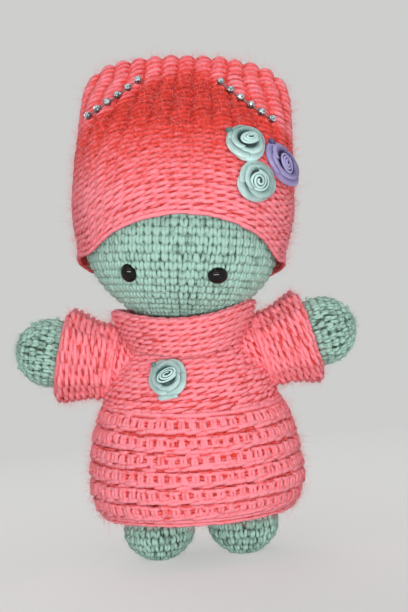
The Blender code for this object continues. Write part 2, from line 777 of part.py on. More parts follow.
def head_mesh(name, distance, step=1):
    """The head's egg shape, drawn in by a distance, with plainer steps for what is inside."""
    work = bmesh.new()
    around = HEAD_SEGMENTS // step
    upward = HEAD_RINGS // step
    bmesh.ops.create_uvsphere(work, u_segments=around, v_segments=upward, radius=1)
    for vert in work.verts:
        height = HEAD_UPPER_HEIGHT if vert.co.z > 0 else HEAD_LOWER_HEIGHT
        vert.co.x *= HEAD_HALF_WIDTH - distance
        vert.co.y *= HEAD_HALF_DEPTH - distance
        vert.co.z = vert.co.z * (height - distance) + HEAD_LOWER_HEIGHT
    mesh = bpy.data.meshes.new(name)
    work.to_mesh(mesh)
    work.free()
    return mesh


def eye_frame(sign):
    """Placement of an eye on the head, its Z axis square to the cover."""
    up = (EYE_HEIGHT - HEAD_LOWER_HEIGHT) / HEAD_LOWER_HEIGHT
    aside = sign * EYE_SPACING / HEAD_HALF_WIDTH
    ahead = -math.sqrt(1 - up**2 - aside**2)
    place = Vector((sign * EYE_SPACING, ahead * HEAD_HALF_DEPTH, EYE_HEIGHT))
    slope = Vector((aside / HEAD_HALF_WIDTH, ahead / HEAD_HALF_DEPTH, up / HEAD_LOWER_HEIGHT))
    normal = slope.normalized()
    turn = normal.to_track_quat("Z", "Y").to_matrix().to_4x4()
    return Matrix.Translation(place + normal * CLEARANCE) @ turn


def eye_profile():
    """A dome, its flange and the ridged stem behind it."""
    dome = [(0, EYE_FLANGE + EYE_DOME)]
    for angle in EYE_ARC_ANGLES:
        radius = EYE_RADIUS * math.cos(math.radians(angle))
        dome.append((radius, EYE_FLANGE + EYE_DOME * math.sin(math.radians(angle))))
    dome += [(EYE_RADIUS, 0), (STEM_RADIUS, 0)]
    start = COVER_WALL + WASHER_THICKNESS
    pitch = (STEM_LENGTH - start) / STEM_RIDGES
    for ridge in range(STEM_RIDGES):
        height = -start - pitch * ridge
        dome += [(STEM_RADIUS, height), (STEM_RADIUS + STEM_RIDGE, height - pitch / 2)]
    return dome + [(STEM_RADIUS, -STEM_LENGTH), (0, -STEM_LENGTH)]


def washer_top():
    """Height of the washer's face behind the cover, where its rim meets the curved wall."""
    sag = WASHER_RADIUS**2 / HEAD_HALF_DEPTH / 2
    return -CLEARANCE - COVER_WALL - CLEARANCE - sag


def washer_profile():
    """A flat ring that grips the stem behind the cover."""
    bore = STEM_RADIUS + STEM_RIDGE + CLEARANCE
    top = washer_top()
    bottom = top - WASHER_THICKNESS
    return [(bore, top), (WASHER_RADIUS, top), (WASHER_RADIUS, bottom), (bore, bottom)]


def make_eyes(cover, filling, head_axis):
    """Both safety eyes, with the holes that they need."""
    for side, sign in SIDES:
        frame = eye_frame(sign)
        eye = new_turned(f"{side}_eye", eye_profile(), SMALL_SEGMENTS, "black_plastic", head_axis)
        washer = new_turned(
            f"{side}_eye_washer", washer_profile(), SMALL_SEGMENTS, "white_plastic", head_axis, closed=True
        )
        hole_radius = STEM_RADIUS + STEM_RIDGE + CLEARANCE
        hole_ends = ((0, OVERRUN), (hole_radius, OVERRUN), (hole_radius, -OVERRUN), (0, -OVERRUN))
        hole = turned_cutter(f"{side}_eye_hole", hole_ends, SMALL_SEGMENTS, head_axis)
        room_radius = WASHER_RADIUS + CLEARANCE
        room_end = -STEM_LENGTH - CLEARANCE
        room_top = washer_top() + CLEARANCE
        room_ends = ((0, room_top), (room_radius, room_top), (room_radius, room_end), (0, room_end))
        room = turned_cutter(f"{side}_washer_room", room_ends, SMALL_SEGMENTS, head_axis)
        for thing in (eye, washer, hole, room):
            thing.matrix_basis = frame
        boolean(cover, hole)
        boolean(cover, room)
        boolean(filling, room)


def neck_seat_profile():
    """Cuts the head's flat seat and the opening above it, downward from its top."""
    top = HEAD_LOWER_HEIGHT / 2
    seat = NECK_SEAT + CLEARANCE
    return [
        (0, top),
        (NECK_BORE, top),
        (NECK_BORE, seat),
        (HEAD_HALF_WIDTH, seat),
        (HEAD_HALF_WIDTH, -OVERRUN),
        (0, -OVERRUN),
    ]


def neck_profile():
    """The neck ring: a flat seat above, a ball surface outside and an open bore."""
    first = math.degrees(math.acos(NECK_SEAT / NECK_BALL_RADIUS))
    last = 180 - math.degrees(math.asin(NECK_BORE / NECK_BALL_RADIUS))
    angles = [first + (last - first) * index / NECK_POINTS for index in range(NECK_POINTS + 1)]
    return [(NECK_BORE, NECK_SEAT), *arc(NECK_BALL_RADIUS, 0, angles)]


def neck_filling_profile():
    """The filling of the neck's bore, rounded below like the ring's own ball."""
    radius = NECK_BORE - CLEARANCE
    first = 180 - math.degrees(math.asin(radius / NECK_BALL_RADIUS))
    dome = arc(NECK_BALL_RADIUS, 0, (first, (first + 180) / 2))
    return [(0, COVER_WALL), (radius, COVER_WALL), *dome, (0, -NECK_BALL_RADIUS)]


def make_head(head_axis):
    """The head's cover and filling with their seat on the neck ring."""
    new_turned("neck_ring", neck_profile(), BODY_SEGMENTS, "sage_yarn", head_axis, closed=True)
    new_turned("neck_stuffing", neck_filling_profile(), SMALL_SEGMENTS, "fibre_fill", head_axis)
    cover = new_object("head_cover", head_mesh("head_cover", 0), "sage_yarn", head_axis)
    lining = new_cutter("head_room", head_mesh("head_room", COVER_WALL, LINING_STEP), head_axis)
    inside = head_mesh("head_stuffing", COVER_WALL + CLEARANCE, LINING_STEP)
    filling = new_object("head_stuffing", inside, "fibre_fill", head_axis)
    seat = turned_cutter("neck_seat", neck_seat_profile(), BODY_SEGMENTS, head_axis)
    boolean(cover, lining)
    boolean(cover, seat)
    make_eyes(cover, filling, head_axis)


def hat_brim(index, count):
    """Height of the brim's tilted plane at one of the points round the hat."""
    depth = section(1, 1, count)[index].y
    return HAT_BRIM_HEIGHT - HAT_BRIM_RISE * depth


def hat_outer_row(share, brims, count):
    """One level of the hat's outer side, with its ribs."""
    row = []
    for index, brim in enumerate(brims):
        valley = index % 2
        height = brim + (HAT_HEIGHT - brim) * share
        width, depth = hat_size(height)
        relief = min(1, HAT_TOP_RIB_SHARE + (1 - share) / HAT_RIB_FADE_SHARE)
        inset = HAT_RIB_DEPTH * valley * relief
        place = section(width - inset, depth - inset, count, hat_power(height))[index]
        drop = HAT_SCALLOP * valley * share**HAT_SCALLOP_POWER
        row.append(Vector((place.x, place.y, height - drop)))
    return row


def hat_inner_size(height):
    """Half width and half depth of the room in the hat, never under the head's own."""
    width, depth = hat_size(height)
    width -= HAT_WALL
    depth -= HAT_WALL
    if height < HEAD_LOWER_HEIGHT + HAT_WALL:
        width = max(width, HEAD_HALF_WIDTH + HAT_HEAD_GAP)
        depth = max(depth, HEAD_HALF_DEPTH + HAT_HEAD_GAP)
    return width, depth


def hat_inner_row(share, brims, count):
    """One level of the hat's room, from its brim up to the end of the cavity."""
    row = []
    for index, brim in enumerate(brims):
        height = brim + (HAT_CAVITY_HEIGHT - brim) * share
        place = section(*hat_inner_size(height), count, hat_power(height))[index]
        row.append(Vector((place.x, place.y, height)))
    return row


def make_hat(hat_axis):
    """The ribbed hat: a hollow over the head that ends in two layers sewn flat."""
    count = HAT_RIBS * 2
    brims = [hat_brim(index, count) for index in range(count)]
    rings = [hat_inner_row(share, brims, count) for share in HAT_INNER_SHARES]
    rings += [hat_outer_row(share, brims, count) for share in HAT_LEVEL_SHARES]
    new_object("hat", loft("hat", rings, cap_first=True, cap_last=True), "coral_yarn", hat_axis)


def chain_frames(side):
    """Placements of a chain's cups along the crease of one corner."""
    start, end = CHAIN_END_SHARES[side]
    frames = []
    for index in range(STONES):
        share = index / (STONES - 1)
        aside, up = (first + (last - first) * share for first, last in zip(start, end))
        across = HAT_HALF_WIDTH * aside
        height = HAT_HEIGHT * up - CHAIN_SAG * math.sin(math.pi * share)
        frames.append(front_frame(across, height, hat_size, hat_power(height)))
    return frames


def cup_profile():
    """A cup with a cone-shaped seat for its stone."""
    seat = CUP_RADIUS - CUP_LIP
    return [(0, CUP_FLOOR), (seat, CUP_HEIGHT), (CUP_RADIUS, CUP_HEIGHT), (CUP_RADIUS, 0), (0, 0)]


def stone_profile():
    """A stone with a flat table, a crown and a point that follows the cup's seat."""
    girdle = CUP_RADIUS - CUP_LIP
    top = CUP_HEIGHT + CLEARANCE + STONE_CROWN
    return [(0, top), (STONE_TABLE, top), (girdle, CUP_HEIGHT + CLEARANCE), (0, CUP_FLOOR + CLEARANCE)]


def spun_bodies(name, profile, segments, frames):
    """One mesh of a turned shape at each of the frames."""
    work = bmesh.new()
    for frame in frames:
        rows = []
        for radius, height in profile:
            count = segments if radius else 1
            turns = [math.tau * step / segments for step in range(count)]
            row = []
            for turn in turns:
                place = Vector((radius * math.cos(turn), radius * math.sin(turn), height))
                row.append(work.verts.new(frame @ place))
            rows.append(row)
        for high, low in zip(rows, rows[1:]):
            for step in range(segments):
                after = (step + 1) % segments
                outer = (high[step % len(high)], low[step % len(low)])
                inner = (low[after % len(low)], high[after % len(high)])
                work.faces.new(list(dict.fromkeys((*outer, *inner))))
    mesh = bpy.data.meshes.new(name)
    work.to_mesh(mesh)
    work.free()
    return mesh


def link_mesh(name, frames):
    """The thin links as one wire through the cups, its caps welded."""
    curve = bpy.data.curves.new(name, "CURVE")
    curve.dimensions = "3D"
    curve.bevel_depth = LINK_RADIUS
    curve.bevel_resolution = 0
    curve.use_fill_caps = True
    line = curve.splines.new("POLY")
    line.points.add(len(frames) - 1)
    for point, frame in zip(line.points, frames):
        point.co = (*(frame @ Vector((0, 0, LINK_HEIGHT))), 1)
    wire = bpy.data.objects.new(name, curve)
    PARTS.objects.link(wire)
    bpy.context.view_layer.update()
    evaluated = wire.evaluated_get(bpy.context.evaluated_depsgraph_get())
    mesh = bpy.data.meshes.new_from_object(evaluated)
    bpy.data.objects.remove(wire)
    bpy.data.curves.remove(curve)
    work = bmesh.new()
    work.from_mesh(mesh)
    bmesh.ops.remove_doubles(work, verts=work.verts, dist=MERGE_DISTANCE)
    work.to_mesh(mesh)
    work.free()
    return mesh


def make_chains(hat_axis):
    """Both cup chains with a stone in each cup."""
    for side, _ in SIDES:
        frames = chain_frames(side)
        name = f"{side}_rhinestone_chain"
        chain = new_object(name, link_mesh(name, frames), "silver_metal", hat_axis)
        cups = spun_bodies(f"{side}_cups", cup_profile(), CUP_SEGMENTS, frames)
        boolean(chain, new_cutter(f"{side}_cups", cups, hat_axis), "UNION")
        for number, frame in enumerate(frames, 1):
            label = f"{side}_stone_{number}"
            stone = new_turned(label, stone_profile(), CUP_SEGMENTS, "clear_stone", hat_axis)
            stone.matrix_basis = frame


def rose_mesh(name):
    """The ribbon wound from the rose's eye outward, leaning out as it goes."""
    steps = ROSE_TURNS * ROSE_SEGMENTS
    work = bmesh.new()
    rows = []
    for step in range(steps + 1):
        share = step / steps
        angle = math.tau * step / ROSE_SEGMENTS
        foot = ROSE_EYE_RADIUS + (ROSE_FOOT_RADIUS - ROSE_EYE_RADIUS) * share
        lip = ROSE_EYE_RADIUS + (ROSE_RADIUS - RIBBON_THICKNESS / 2 - ROSE_EYE_RADIUS) * share
        wave = ROSE_WAVE * math.sin(angle * ROSE_PETALS_PER_TURN) * share
        height = ROSE_HEIGHT + (ROSE_EDGE_HEIGHT - ROSE_HEIGHT) * share + wave
        swell = foot + (lip - foot) * ROSE_LEAN_SHARE * (1 + share**2)
        middle = (CALYX_THICKNESS + height) / 2
        places = ((foot, CALYX_THICKNESS / 2), (swell, middle), (lip, height))
        around = Vector((math.cos(angle), math.sin(angle), 0))
        rows.append([work.verts.new(around * r + Vector((0, 0, z))) for r, z in places])
    for before, after in zip(rows, rows[1:]):
        for low in range(len(before) - 1):
            work.faces.new((before[low], after[low], after[low + 1], before[low + 1]))
    mesh = bpy.data.meshes.new(name)
    work.to_mesh(mesh)
    work.free()
    return mesh


def make_rose(name, frame, material, parent):
    """A ribbon rose on its round calyx."""
    rose = new_object(name, rose_mesh(name), material, parent)
    rose.matrix_basis = frame
    ribbon = shell(rose, RIBBON_THICKNESS)
    ribbon.offset = 0
    rim = ((CALYX_RADIUS, CALYX_THICKNESS), (CALYX_RADIUS, 0))
    disc = ((0, CALYX_THICKNESS), *rim, (0, 0))
    calyx = turned_cutter(f"{name}_calyx", disc, CALYX_SEGMENTS, parent)
    calyx.matrix_basis = frame
    boolean(rose, calyx, "UNION")


def make_roses(hat_axis):
    """Three roses on the hat and one on the chest."""
    for name, (aside, up, material) in HAT_ROSE_SHARES.items():
        height = HAT_HEIGHT * up
        frame = front_frame(HAT_HALF_WIDTH * aside, height, hat_size, hat_power(height))
        make_rose(name, frame, material, hat_axis)
    chest = front_frame(CHEST_ROSE_X, CHEST_ROSE_HEIGHT, bodice_size)
    make_rose("chest_rose", chest, "mint_satin", DOLL)


clear_scene()
PARTS = new_collection("crocheted_doll")
CUTTERS = new_collection("cutters")
DOLL = new_empty("doll", (0, 0, 0))

HEAD_AXIS = new_empty("head_axis", (NECK_SHIFT, 0, NECK_HEIGHT), DOLL)
HEAD_AXIS.rotation_mode = "ZYX"
HEAD_AXIS.rotation_euler = (0, HEAD_TILT, HEAD_YAW)
HAT_AXIS = new_empty("hat_axis", (0, 0, 0), HEAD_AXIS)

HIP_SOCKETS = [make_leg(side, sign) for side, sign in SIDES]
ARM_CUTS = [make_arm(side, sign) for side, sign in SIDES]
make_torso(HIP_SOCKETS, ARM_CUTS)
make_head(HEAD_AXIS)
HEAD_ROOM = head_mesh("collar_head_room", -COLLAR_HEAD_GAP)
make_bodice(ARM_CUTS, new_cutter("collar_head_room", HEAD_ROOM, HEAD_AXIS))
make_skirt()
make_hat(HAT_AXIS)
make_chains(HAT_AXIS)
make_roses(HAT_AXIS)
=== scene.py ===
"""Crochet, ribbon roses, rhinestones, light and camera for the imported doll, in its frame, in metres."""

import math

import bpy
import numpy as np
from mathutils import Euler, Matrix, Vector


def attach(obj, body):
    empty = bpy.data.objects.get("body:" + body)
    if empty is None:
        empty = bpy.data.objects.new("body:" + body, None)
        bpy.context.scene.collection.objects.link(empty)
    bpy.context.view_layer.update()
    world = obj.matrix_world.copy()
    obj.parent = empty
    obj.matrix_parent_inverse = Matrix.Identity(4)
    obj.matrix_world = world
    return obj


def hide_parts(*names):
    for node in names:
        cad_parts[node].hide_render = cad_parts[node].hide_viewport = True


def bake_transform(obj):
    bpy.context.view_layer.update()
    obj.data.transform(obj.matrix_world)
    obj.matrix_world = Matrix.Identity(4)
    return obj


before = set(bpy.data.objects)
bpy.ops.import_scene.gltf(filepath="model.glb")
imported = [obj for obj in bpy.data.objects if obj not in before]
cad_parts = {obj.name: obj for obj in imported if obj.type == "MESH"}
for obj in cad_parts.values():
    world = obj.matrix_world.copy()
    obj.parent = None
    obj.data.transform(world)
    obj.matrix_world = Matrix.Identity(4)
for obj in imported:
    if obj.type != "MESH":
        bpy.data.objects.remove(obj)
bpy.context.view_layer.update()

RNG = np.random.default_rng(20)
# Points round every skin, round the fine oval that they are read from, and samples of a table
AROUND = 384
OVAL_POINTS = 1441
TABLE_SAMPLES = 240

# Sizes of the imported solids. A table's rows are shares of the height, half width and half depth
EYE_HEIGHT = 0.0246
NECK_PLACE = (-0.0025, 0.0, 0.126)
NECK_RADIUS = 0.0174
HEAD_TILT = math.radians(6.4)
HEAD_YAW = math.radians(-4.5)
HEAD_HALF = (0.052, 0.046)
HEAD_LOWER = 0.0445
HEAD_UPPER = 0.042
HAT_HALF = (0.0597, 0.053)
HAT_HEIGHT = 0.1424
HAT_RIBS = 26
HAT_TURN = 0.905
HAT_TABLE = (
    (0.12, 0.93, 0.95), (0.27, 0.935, 0.97), (0.35, 0.98, 0.99), (0.42, 1.0, 1.0),
    (0.53, 0.992, 0.955), (0.62, 0.978, 0.835), (0.7, 0.962, 0.67), (0.79, 0.948, 0.48),
    (0.86, 0.931, 0.33), (0.915, 0.88, 0.225), (0.955, 0.77, 0.165), (0.985, 0.6, 0.13),
    (1.0, 0.33, 0.085),
)
TORSO_LOW = 0.0389
TORSO_TOP = 0.122
TORSO_HALF = (0.042, 0.0353)
TORSO_TABLE = (
    (0.0, 0.43, 0.43), (0.03, 0.78, 0.78), (0.12, 0.95, 0.95), (0.26, 1.0, 1.0), (0.44, 0.96, 0.96),
    (0.6, 0.9, 0.9), (0.73, 0.8, 0.83), (0.8, 0.71, 0.75), (0.87, 0.59, 0.64), (0.94, 0.45, 0.54),
    (1.0, 0.417, 0.496),
)
YOKE_LOW = 0.084
YOKE_TOP = 0.117
YOKE_HALF = (0.046, 0.0386)
YOKE_TABLE = (
    (0.0, 0.985, 0.985), (0.13, 1.0, 1.0), (0.31, 0.978, 0.985), (0.49, 0.913, 0.92),
    (0.67, 0.815, 0.82), (0.85, 0.674, 0.7), (1.0, 0.554, 0.6),
)
SKIRT_LOW = 0.016
SKIRT_TOP = 0.0836
SKIRT_HALF = (0.0578, 0.05)
SKIRT_TABLE = (
    (0.0, 0.805, 0.805), (0.08, 0.855, 0.855), (0.18, 0.94, 0.94), (0.27, 0.981, 0.981),
    (0.36, 1.0, 1.0), (0.6, 0.972, 0.972), (0.79, 0.929, 0.929), (1.0, 0.83, 0.83),
)
SHOULDER = (0.038, 0.0, 0.1055)
ARM_RISE = math.radians(13.9)
SLEEVE_LENGTH = 0.0295
BELL_RADIUS = 0.023
HAND_RADIUS = 0.018
HAND_REACH = 0.0367
LEG_SPACING = 0.0227
HIP_HEIGHT = 0.038
HIP_RADIUS = 0.016
FOOT_HALF = (0.0185, 0.023)
FOOT_WIDEST = 0.015
ANKLE_RADIUS = 0.0145
ANKLE_RISE = 0.0135
TRIM_LIFT = 0.0004
SIDES = (("left", 1), ("right", -1))


# ---- Skins: sheets closed round u, with v upward, that carry the stitches


def oval(half_width, half_depth, power=2.0):
    """Points at equal steps round a flattened circle, from its front centre towards +X."""
    angle = np.linspace(0, 2 * np.pi, OVAL_POINTS)
    across = half_width * np.sign(np.sin(angle)) * np.abs(np.sin(angle)) ** (2 / power)
    ahead = -half_depth * np.sign(np.cos(angle)) * np.abs(np.cos(angle)) ** (2 / power)
    length = np.concatenate([[0], np.cumsum(np.hypot(np.diff(across), np.diff(ahead)))])
    wanted = np.linspace(0, length[-1], AROUND + 1)[:-1]
    return np.stack([np.interp(wanted, length, across), np.interp(wanted, length, ahead)], -1)


def at_height(ring, height):
    """Gives a ring of (x, y) its height, one for all or one a point."""
    return np.column_stack([ring, np.broadcast_to(height, len(ring))])


def moved(points, matrix):
    matrix = np.array(matrix)
    return points @ matrix[:3, :3].T + matrix[:3, 3]


def facing(place, normal):
    """A frame at a place, whose Z points along the normal."""
    return Matrix.Translation(place) @ normal.to_track_quat("Z", "Y").to_matrix().to_4x4()


def soften(values, passes):
    """Rounds the corners of a run of rows, whose ends stay."""
    values = np.array(values, float)
    for _ in range(passes):
        values[1:-1] = values[1:-1] * 0.5 + (values[:-2] + values[2:]) * 0.25
    return values


def rounded_rows(table, shares):
    """A table's widths and depths read at many shares of its height, its corners rounded."""
    keys = [row[0] for row in table]
    pairs = np.stack([np.interp(shares, keys, [row[1 + k] for row in table]) for k in (0, 1)], -1)
    return soften(pairs, max(4, len(shares) // 8))


def sizes_at(table, halves, low, top, rounded=True):
    """A reader of half widths and depths at any heights, from a table of shares."""
    shares, pairs = np.array([row[0] for row in table]), np.array([row[1:] for row in table])
    if rounded:
        shares = np.linspace(shares[0], shares[-1], TABLE_SAMPLES)
        pairs = rounded_rows(table, shares)
    levels, pairs = low + (top - low) * shares, pairs * halves
    return lambda heights: np.stack([np.interp(heights, levels, pairs[:, k]) for k in (0, 1)], -1)


class Skin:
    """Points and normals of a closed sheet, read anywhere between its rows, a sink below them."""

    def __init__(self, grid, matrix=None, sink=0.0):
        grid = np.asarray(grid, float)
        self.sink = sink
        if matrix is not None:
            grid = moved(grid, matrix)
        self.grid = grid
        along = np.roll(grid, -1, 1) - np.roll(grid, 1, 1)
        normal = np.cross(along, np.gradient(grid, axis=0))
        size = np.linalg.norm(normal, axis=-1, keepdims=True)
        normal = np.where(size > 1e-12, normal / np.maximum(size, 1e-12), 0)
        for row in (0, -1):
            if size[row].max() < 1e-9:
                normal[row] = normal[1 if row == 0 else -2].mean(0)
        self.normal = normal
        steps = np.linalg.norm(np.diff(grid, axis=0), axis=-1).mean(1)
        self.rise = np.concatenate([[0], np.cumsum(steps)])
        self.shares = np.linspace(0, 1, len(grid))
        self.round = np.linalg.norm(np.roll(grid, -1, 1) - grid, axis=-1).sum(1)

    def read(self, u, v):
        """The point and the unit normal at each (u, v)."""
        rows, cols = self.grid.shape[:2]
        x = (np.asarray(u) % 1) * cols
        y = np.clip(v, 0, 1) * (rows - 1)
        i0 = np.floor(x).astype(int) % cols
        i1 = (i0 + 1) % cols
        j0 = np.minimum(np.floor(y).astype(int), rows - 2)
        fx = (x - np.floor(x))[..., None]
        fy = (y - j0)[..., None]

        def mix(values):
            low = values[j0, i0] * (1 - fx) + values[j0, i1] * fx
            high = values[j0 + 1, i0] * (1 - fx) + values[j0 + 1, i1] * fx
            return low * (1 - fy) + high * fy

        normal = mix(self.normal)
        normal = normal / np.maximum(np.linalg.norm(normal, axis=-1, keepdims=True), 1e-9)
        return mix(self.grid) - normal * self.sink, normal


def cells(skin, low, high, height, width, rows=None, columns=None, step=1):
    """Rows of stitches between two v: u, v, width and height of each stitch.

    Given rows share v evenly, others share the length. Counts are multiples of step.
    """
    start, end = np.interp((low, high), skin.shares, skin.rise)
    count = rows or max(1, round((end - start) / height))
    edges = np.linspace(low, high, count + 1)
    if not rows:
        edges = np.interp(np.linspace(start, end, count + 1), skin.rise, skin.shares)
    out = []
    for foot, top in zip(edges, edges[1:]):
        length = np.interp((foot + top) / 2, skin.shares, skin.round)
        number = columns or max(6, step * round(length / width / step))
        rest = [np.full(number, value) for value in (foot, 1 / number, top - foot)]
        out.append(np.stack([(np.arange(number) - 0.5) / number, *rest], -1))
    return np.concatenate(out)


# ---- Yarn: tubes along short paths

# Length of yarn for one turn of its plies
PLY_TURN = 0.0022
# How far stitches and their strands differ, as shares
STITCH_TONE = 0.07
STRAND_TONE = 0.06
STRAND_LIFT = 0.15
STRAND_GIRTH = 0.07
# A strand no thicker than this is a tube of four sides
THIN_STRAND = 0.9
FIBRE_RADIUS = 0.000045
FIBRE_TAPER = (1.0, 0.85, 0.35)
FLOOR_GAP = 0.0003


class Yarn:
    """Collects tubes and sheets, and makes one mesh of them.

    Its first argument is how much painted shade darkens a strand's sides, toward the fabric.
    """

    def __init__(self, flank_shade=0.52):
        self.flank_shade = flank_shade
        self.points, self.quads, self.tones, self.maps = [], [], [], []
        self.count = 0

    def add(self, *parts):
        """Keeps points, quads, their tones and their maps."""
        for held, part in zip((self.points, self.quads, self.tones, self.maps), parts):
            held.append(part)
        self.count += len(parts[0])

    def tubes(self, path, normal, radius, tone, sides):
        """Sweeps a tube along each path. path is (n, k, 3), radius and tone are (n, k)."""
        n, k = path.shape[:2]
        run = np.gradient(path, axis=1)
        length = np.linalg.norm(run, axis=-1, keepdims=True)
        run = run / np.maximum(length, 1e-12)
        side = np.cross(run, normal)
        side /= np.maximum(np.linalg.norm(side, axis=-1, keepdims=True), 1e-9)
        up = np.cross(side, run)
        turn = 2 * np.pi * np.arange(sides) / sides
        spoke = side[:, :, None] * np.cos(turn)[:, None] + up[:, :, None] * np.sin(turn)[:, None]
        points = path[:, :, None] + spoke * radius[..., None, None]
        index = self.count + np.arange(n * k * sides).reshape(n, k, sides)
        after = np.roll(index, -1, 2)
        quads = np.stack([index[:, :-1], after[:, :-1], after[:, 1:], index[:, 1:]], -1)
        place = np.concatenate([np.zeros((n, 1)), np.cumsum(length[:, 1:, 0], 1)], 1) / PLY_TURN
        a = np.broadcast_to(place[:, :-1, None], quads.shape[:3])
        b = np.broadcast_to(place[:, 1:, None], quads.shape[:3])
        c = np.broadcast_to(np.arange(sides) / sides, quads.shape[:3])
        d = c + 1 / sides
        maps = np.stack([np.stack(corner, -1) for corner in ((a, c), (a, d), (b, d), (b, c))], -2)
        # Painted shade: each tube is darker on the sides that face the fabric
        around = 1 - self.flank_shade * np.clip(0.75 - np.sin(turn), 0, 1)
        tones = (tone[..., None] * around).reshape(-1)
        self.add(points.reshape(-1, 3), quads.reshape(-1, 4), tones, maps.reshape(-1, 2))

    def sheet(self, points, tone, closed=True):
        """A sheet of (rows, cols, 3) points, closed round its columns. tone is one value, or one a row."""
        rows, cols = points.shape[:2]
        index = self.count + np.arange(rows * cols).reshape(rows, cols)
        after = np.roll(index, -1, 1)
        quads = np.stack([index[:-1], after[:-1], after[1:], index[1:]], -1)
        if not closed:
            quads = quads[:, :-1]
        quads = quads.reshape(-1, 4)
        tones = np.broadcast_to(np.asarray(tone, float).reshape(-1, 1), (rows, cols)).ravel()
        self.add(points.reshape(-1, 3), quads, tones, np.zeros((quads.size, 2)))

    def mesh(self, name):
        """One mesh with a tone at each point and a map along and round the yarn."""
        points = np.concatenate(self.points).astype(np.float32)
        quads = np.concatenate(self.quads).astype(np.int32)
        mesh = bpy.data.meshes.new(name)
        mesh.vertices.add(len(points))
        mesh.vertices.foreach_set("co", points.ravel())
        mesh.loops.add(quads.size)
        mesh.loops.foreach_set("vertex_index", quads.ravel())
        mesh.polygons.add(len(quads))
        mesh.polygons.foreach_set("loop_start", np.arange(0, quads.size, 4, dtype=np.int32))
        mesh.update(calc_edges=True)
        mesh.polygons.foreach_set("use_smooth", np.ones(len(quads), bool))
        tone = mesh.attributes.new("tone", "FLOAT", "POINT")
        tone.data.foreach_set("value", np.concatenate(self.tones).astype(np.float32))
        layer = mesh.uv_layers.new(name="yarn")
        layer.data.foreach_set("uv", np.concatenate(self.maps).astype(np.float32).ravel())
        mesh.update()
        return mesh


def curve(points, count):
    """Samples a soft curve through a strand's points."""
    points = np.array(points, float)
    ends = (2 * points[:1] - points[1:2], points, 2 * points[-1:] - points[-2:-1])
    padded = np.concatenate(ends)
    places = np.linspace(0, len(points) - 1, count)
    index = np.minimum(places.astype(int), len(points) - 2)
    t = (places - index)[:, None]
    a, b, c, d = (padded[index + k] for k in range(4))
    return b + 0.5 * t * (c - a + t * (2 * a - 5 * b + 4 * c - d + t * (3 * (b - c) + d - a)))


def stitch(yarn, skin, places, pattern, radius, wobble=0.05, sides=6, count=6, lift=None, shade_by_place=None):
    """Lays a pattern of strands in every cell. Lift, and a painted shade that multiplies the tone, are read
    at (u, v).
    """
    n = len(places)
    u0, v0, du, dv = places.T[:, :, None]
    stitch_tone = 1 + STITCH_TONE * RNG.standard_normal((n, 1))
    for tone, thickness, *strand in pattern:
        s, t, h = curve(strand, count).T
        shift = wobble * RNG.standard_normal((n, 2, 1))
        u = u0 + (s + shift[:, 0]) * du
        v = v0 + (t + shift[:, 1]) * dv
        point, normal = skin.read(u, v)
        high = h * radius * (1 + STRAND_LIFT * RNG.standard_normal((n, 1)))
        if lift is not None:
            high = high + lift(u, v)
        ends = np.minimum(1, 0.62 + 0.8 * np.sin(np.pi * np.linspace(0.02, 0.98, count)))
        thick = radius * thickness * ends * (1 + STRAND_GIRTH * RNG.standard_normal((n, 1)))
        strand_tone = tone * (stitch_tone + STRAND_TONE * RNG.standard_normal((n, 1)))
        # Painted shade: strands are darker where they dip into the fabric
        shade = strand_tone * (0.5 + 0.5 * np.clip((h + 0.7) / 1.5, 0, 1))
        if shade_by_place is not None:
            shade = shade * shade_by_place(u, v)
        path = point + normal * high[..., None]
        thick, shade = np.broadcast_to(thick, (n, count)), np.broadcast_to(shade, (n, count))
        yarn.tubes(path, normal, thick, shade, sides if thickness > THIN_STRAND else 4)


def fuzz(yarn, skin, count, low, high, length, lift):
    """Loose fibres that stand off the yarn between two v."""
    u = RNG.random(count)
    v = low + (high - low) * RNG.random(count)
    point, normal = skin.read(u, v)
    lean = RNG.standard_normal((count, 3))
    lean /= np.linalg.norm(lean, axis=-1, keepdims=True)
    curl = RNG.standard_normal((count, 3)) * 0.5
    size = length * (0.35 + RNG.random((count, 1)) * 0.9)
    steps = np.linspace(0, 1, len(FIBRE_TAPER))[:, None, None]
    head = normal * 0.7 + lean * 0.8
    path = point + normal * lift + head * size * steps + curl * size * steps**2
    path = path.transpose(1, 0, 2)
    path[..., 2] = np.maximum(path[..., 2], FLOOR_GAP)
    wide = np.broadcast_to(FIBRE_RADIUS * np.array(FIBRE_TAPER), path.shape[:2])
    side = np.cross(normal, lean) + 1e-4
    yarn.tubes(path, np.broadcast_to(side[:, None], path.shape), wide, np.ones(path.shape[:2]), 3)


def shaded_backing(yarn, skin, low, high, depth, tone=0.25, rows=60, cols=96, lift=None):
    """The fabric under the stitches, in a low tone: painted shade that shows in the gaps between them."""
    v, u = np.meshgrid(np.linspace(low, high, rows), np.arange(cols) / cols, indexing="ij")
    point, normal = skin.read(u, v)
    high = -depth if lift is None else (lift(u, v) - depth)[..., None]
    yarn.sheet(point + normal * high, tone)


# In each pattern a strand is its tone, its thickness and its points: s across the cell, t up it and h
# out of the fabric in radii. The tones are painted shade and light: lower for strands that lie under
# others, higher for the proud ones.

# Single crochet in the round: two fat legs that meet low in the cell, a strand behind the gap beside
# them, and the loop under the next row
SINGLE = (
    (1.0, 1.05, (0.46, -0.06, -0.35), (0.32, 0.22, 0.5), (0.27, 0.58, 0.85), (0.28, 0.96, -0.15)),
    (1.0, 1.05, (0.54, -0.06, -0.35), (0.68, 0.22, 0.5), (0.73, 0.58, 0.85), (0.72, 0.96, -0.15)),
    (0.98, 0.85, (0.0, 0.26, -0.6), (0.0, 0.56, 0.3), (0.0, 0.92, -0.5)),
    (0.8, 0.6, (-0.02, 0.97, -0.9), (0.22, 1.0, -0.3), (0.5, 0.98, -0.35), (0.78, 1.0, -0.3),
     (1.02, 0.97, -0.9)),
)

